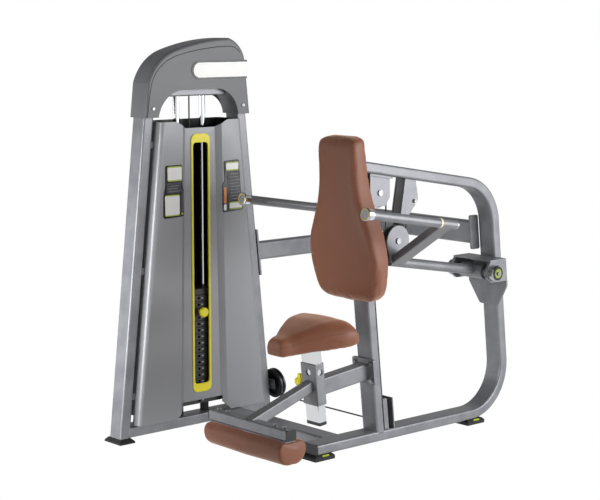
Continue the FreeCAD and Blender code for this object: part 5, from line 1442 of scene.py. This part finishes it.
@dataclass
class Studio:
    """Camera, floor and soft light."""

    camera_at: Triple = (-4.121374, -4.428105, 1.570)
    heading_deg: float = 41.6
    pitch_deg: float = 8.05
    lens: float = 97.54
    sensor_mm: float = 36.0
    reach: float = 60.0
    floor_half: float = 30.0
    panels: tuple[Panel, ...] = (
        Panel("front_right_panel", (1.4, -2.9, 1.25), (0.0, 0.0, 0.75), (2.4, 2.2), 92),
        Panel("left_panel", (-2.0, 0.75, 0.7), (-0.6, 0.85, 0.5), (1.0, 1.2), 11, 75.0))

    def place(self, data: bpy.types.Camera | bpy.types.Light, spot: Triple, turn: Triple) -> bpy.types.Object:
        """Stands a camera or a light in the studio.

        Args:
            data: What to stand there.
            spot: Where, in metres.
            turn: Its rotation.

        Returns:
            The linked object.
        """
        item = bpy.data.objects.new(data.name, data)
        bpy.context.scene.collection.objects.link(item)
        item.location = spot
        item.rotation_euler = turn
        return item

    def camera(self) -> None:
        """Camera at the photograph's viewing angle."""
        data = bpy.data.cameras.new("Camera")
        data.lens = self.lens
        data.sensor_width = self.sensor_mm
        data.clip_end = self.reach
        turn = (math.radians(90 - self.pitch_deg), 0, -math.radians(self.heading_deg))
        bpy.context.scene.camera = self.place(data, self.camera_at, turn)

    def floor(self) -> None:
        """Pale seamless floor."""
        h = self.floor_half
        corners = [Vector((-h, -h, 0)), Vector((h, -h, 0)), Vector((h, h, 0)), Vector((-h, h, 0))]
        piece = new_piece("studio_floor", corners, [(0, 1, 2, 3)], smooth=False)
        material = bpy.data.materials.new("pale_studio_floor")
        piece.data.materials.append(material)
        tree = cleared(material)
        bounce = add_node(tree, "BsdfPrincipled", {"Base Color": linear("BDBDBD"), "Roughness": 0.9})
        glow = add_node(tree, "Emission", {"Color": linear("FFFFFF"), "Strength": 1.0})
        ray = add_node(tree, "LightPath").outputs
        seen = add_node(tree, "Math", {"operation": "MAXIMUM"}, {0: ray["Is Camera Ray"], 1: ray["Is Glossy Ray"]})
        mix = add_node(tree, "MixShader", links={0: seen.outputs[0], 1: bounce.outputs[0], 2: glow.outputs[0]})
        add_node(tree, "OutputMaterial", links={0: mix.outputs[0]})

    def light(self, panel: Panel) -> None:
        """Soft light panel.

        Args:
            panel: What it is like.
        """
        data = bpy.data.lights.new(panel.name, "AREA")
        data.shape = "RECTANGLE"
        data.size, data.size_y = panel.size
        data.energy = panel.watts
        data.spread = math.radians(panel.spread_deg)
        aim = Vector(panel.target) - Vector(panel.place)
        self.place(data, panel.place, aim.to_track_quat("-Z", "Y").to_euler())

    def world(self) -> None:
        """Pale surround for the camera, and a dim ceiling for what the pieces reflect."""
        world = bpy.data.worlds.new("studio_surround")
        bpy.context.scene.world = world
        tree = cleared(world)
        where = add_node(tree, "TexCoord")
        split = add_node(tree, "SeparateXYZ", links={0: where.outputs["Generated"]})
        ramp = add_node(tree, "MapRange", {"From Min": 0.45, "From Max": 0.8, "To Min": 0.52, "To Max": 0.04},
                        {"Value": split.outputs["Z"]})
        lit = add_node(tree, "Background", {"Color": linear("FFFFFF")}, {"Strength": ramp.outputs[0]})
        seen = add_node(tree, "Background", {"Color": linear("FFFFFF"), "Strength": 1.0})
        ray = add_node(tree, "LightPath").outputs
        mix = add_node(tree, "MixShader", links={0: ray["Is Camera Ray"], 1: lit.outputs[0], 2: seen.outputs[0]})
        add_node(tree, "OutputWorld", links={0: mix.outputs[0]})

    def build(self) -> None:
        """Builds the whole studio."""
        self.camera()
        self.floor()
        self.world()
        for panel in self.panels:
            self.light(panel)
        bpy.context.scene.view_settings.view_transform = "Standard"
        LOG.info("built the studio")


def main() -> None:
    """Builds the studio, the finishes, the upholstery and the trim, in that order."""
    logging.basicConfig(level=logging.INFO, format="%(message)s")
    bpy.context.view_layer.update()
    Studio().build()
    shop = Workshop()
    for kind in (PackedNodes, BackPad, SeatPad, FootPad, TowerTrim, PivotTrim, HandTrim, FootTrim, SeatTrim, Ropes):
        kind(shop).build()


if __name__ == "__main__":
    main()
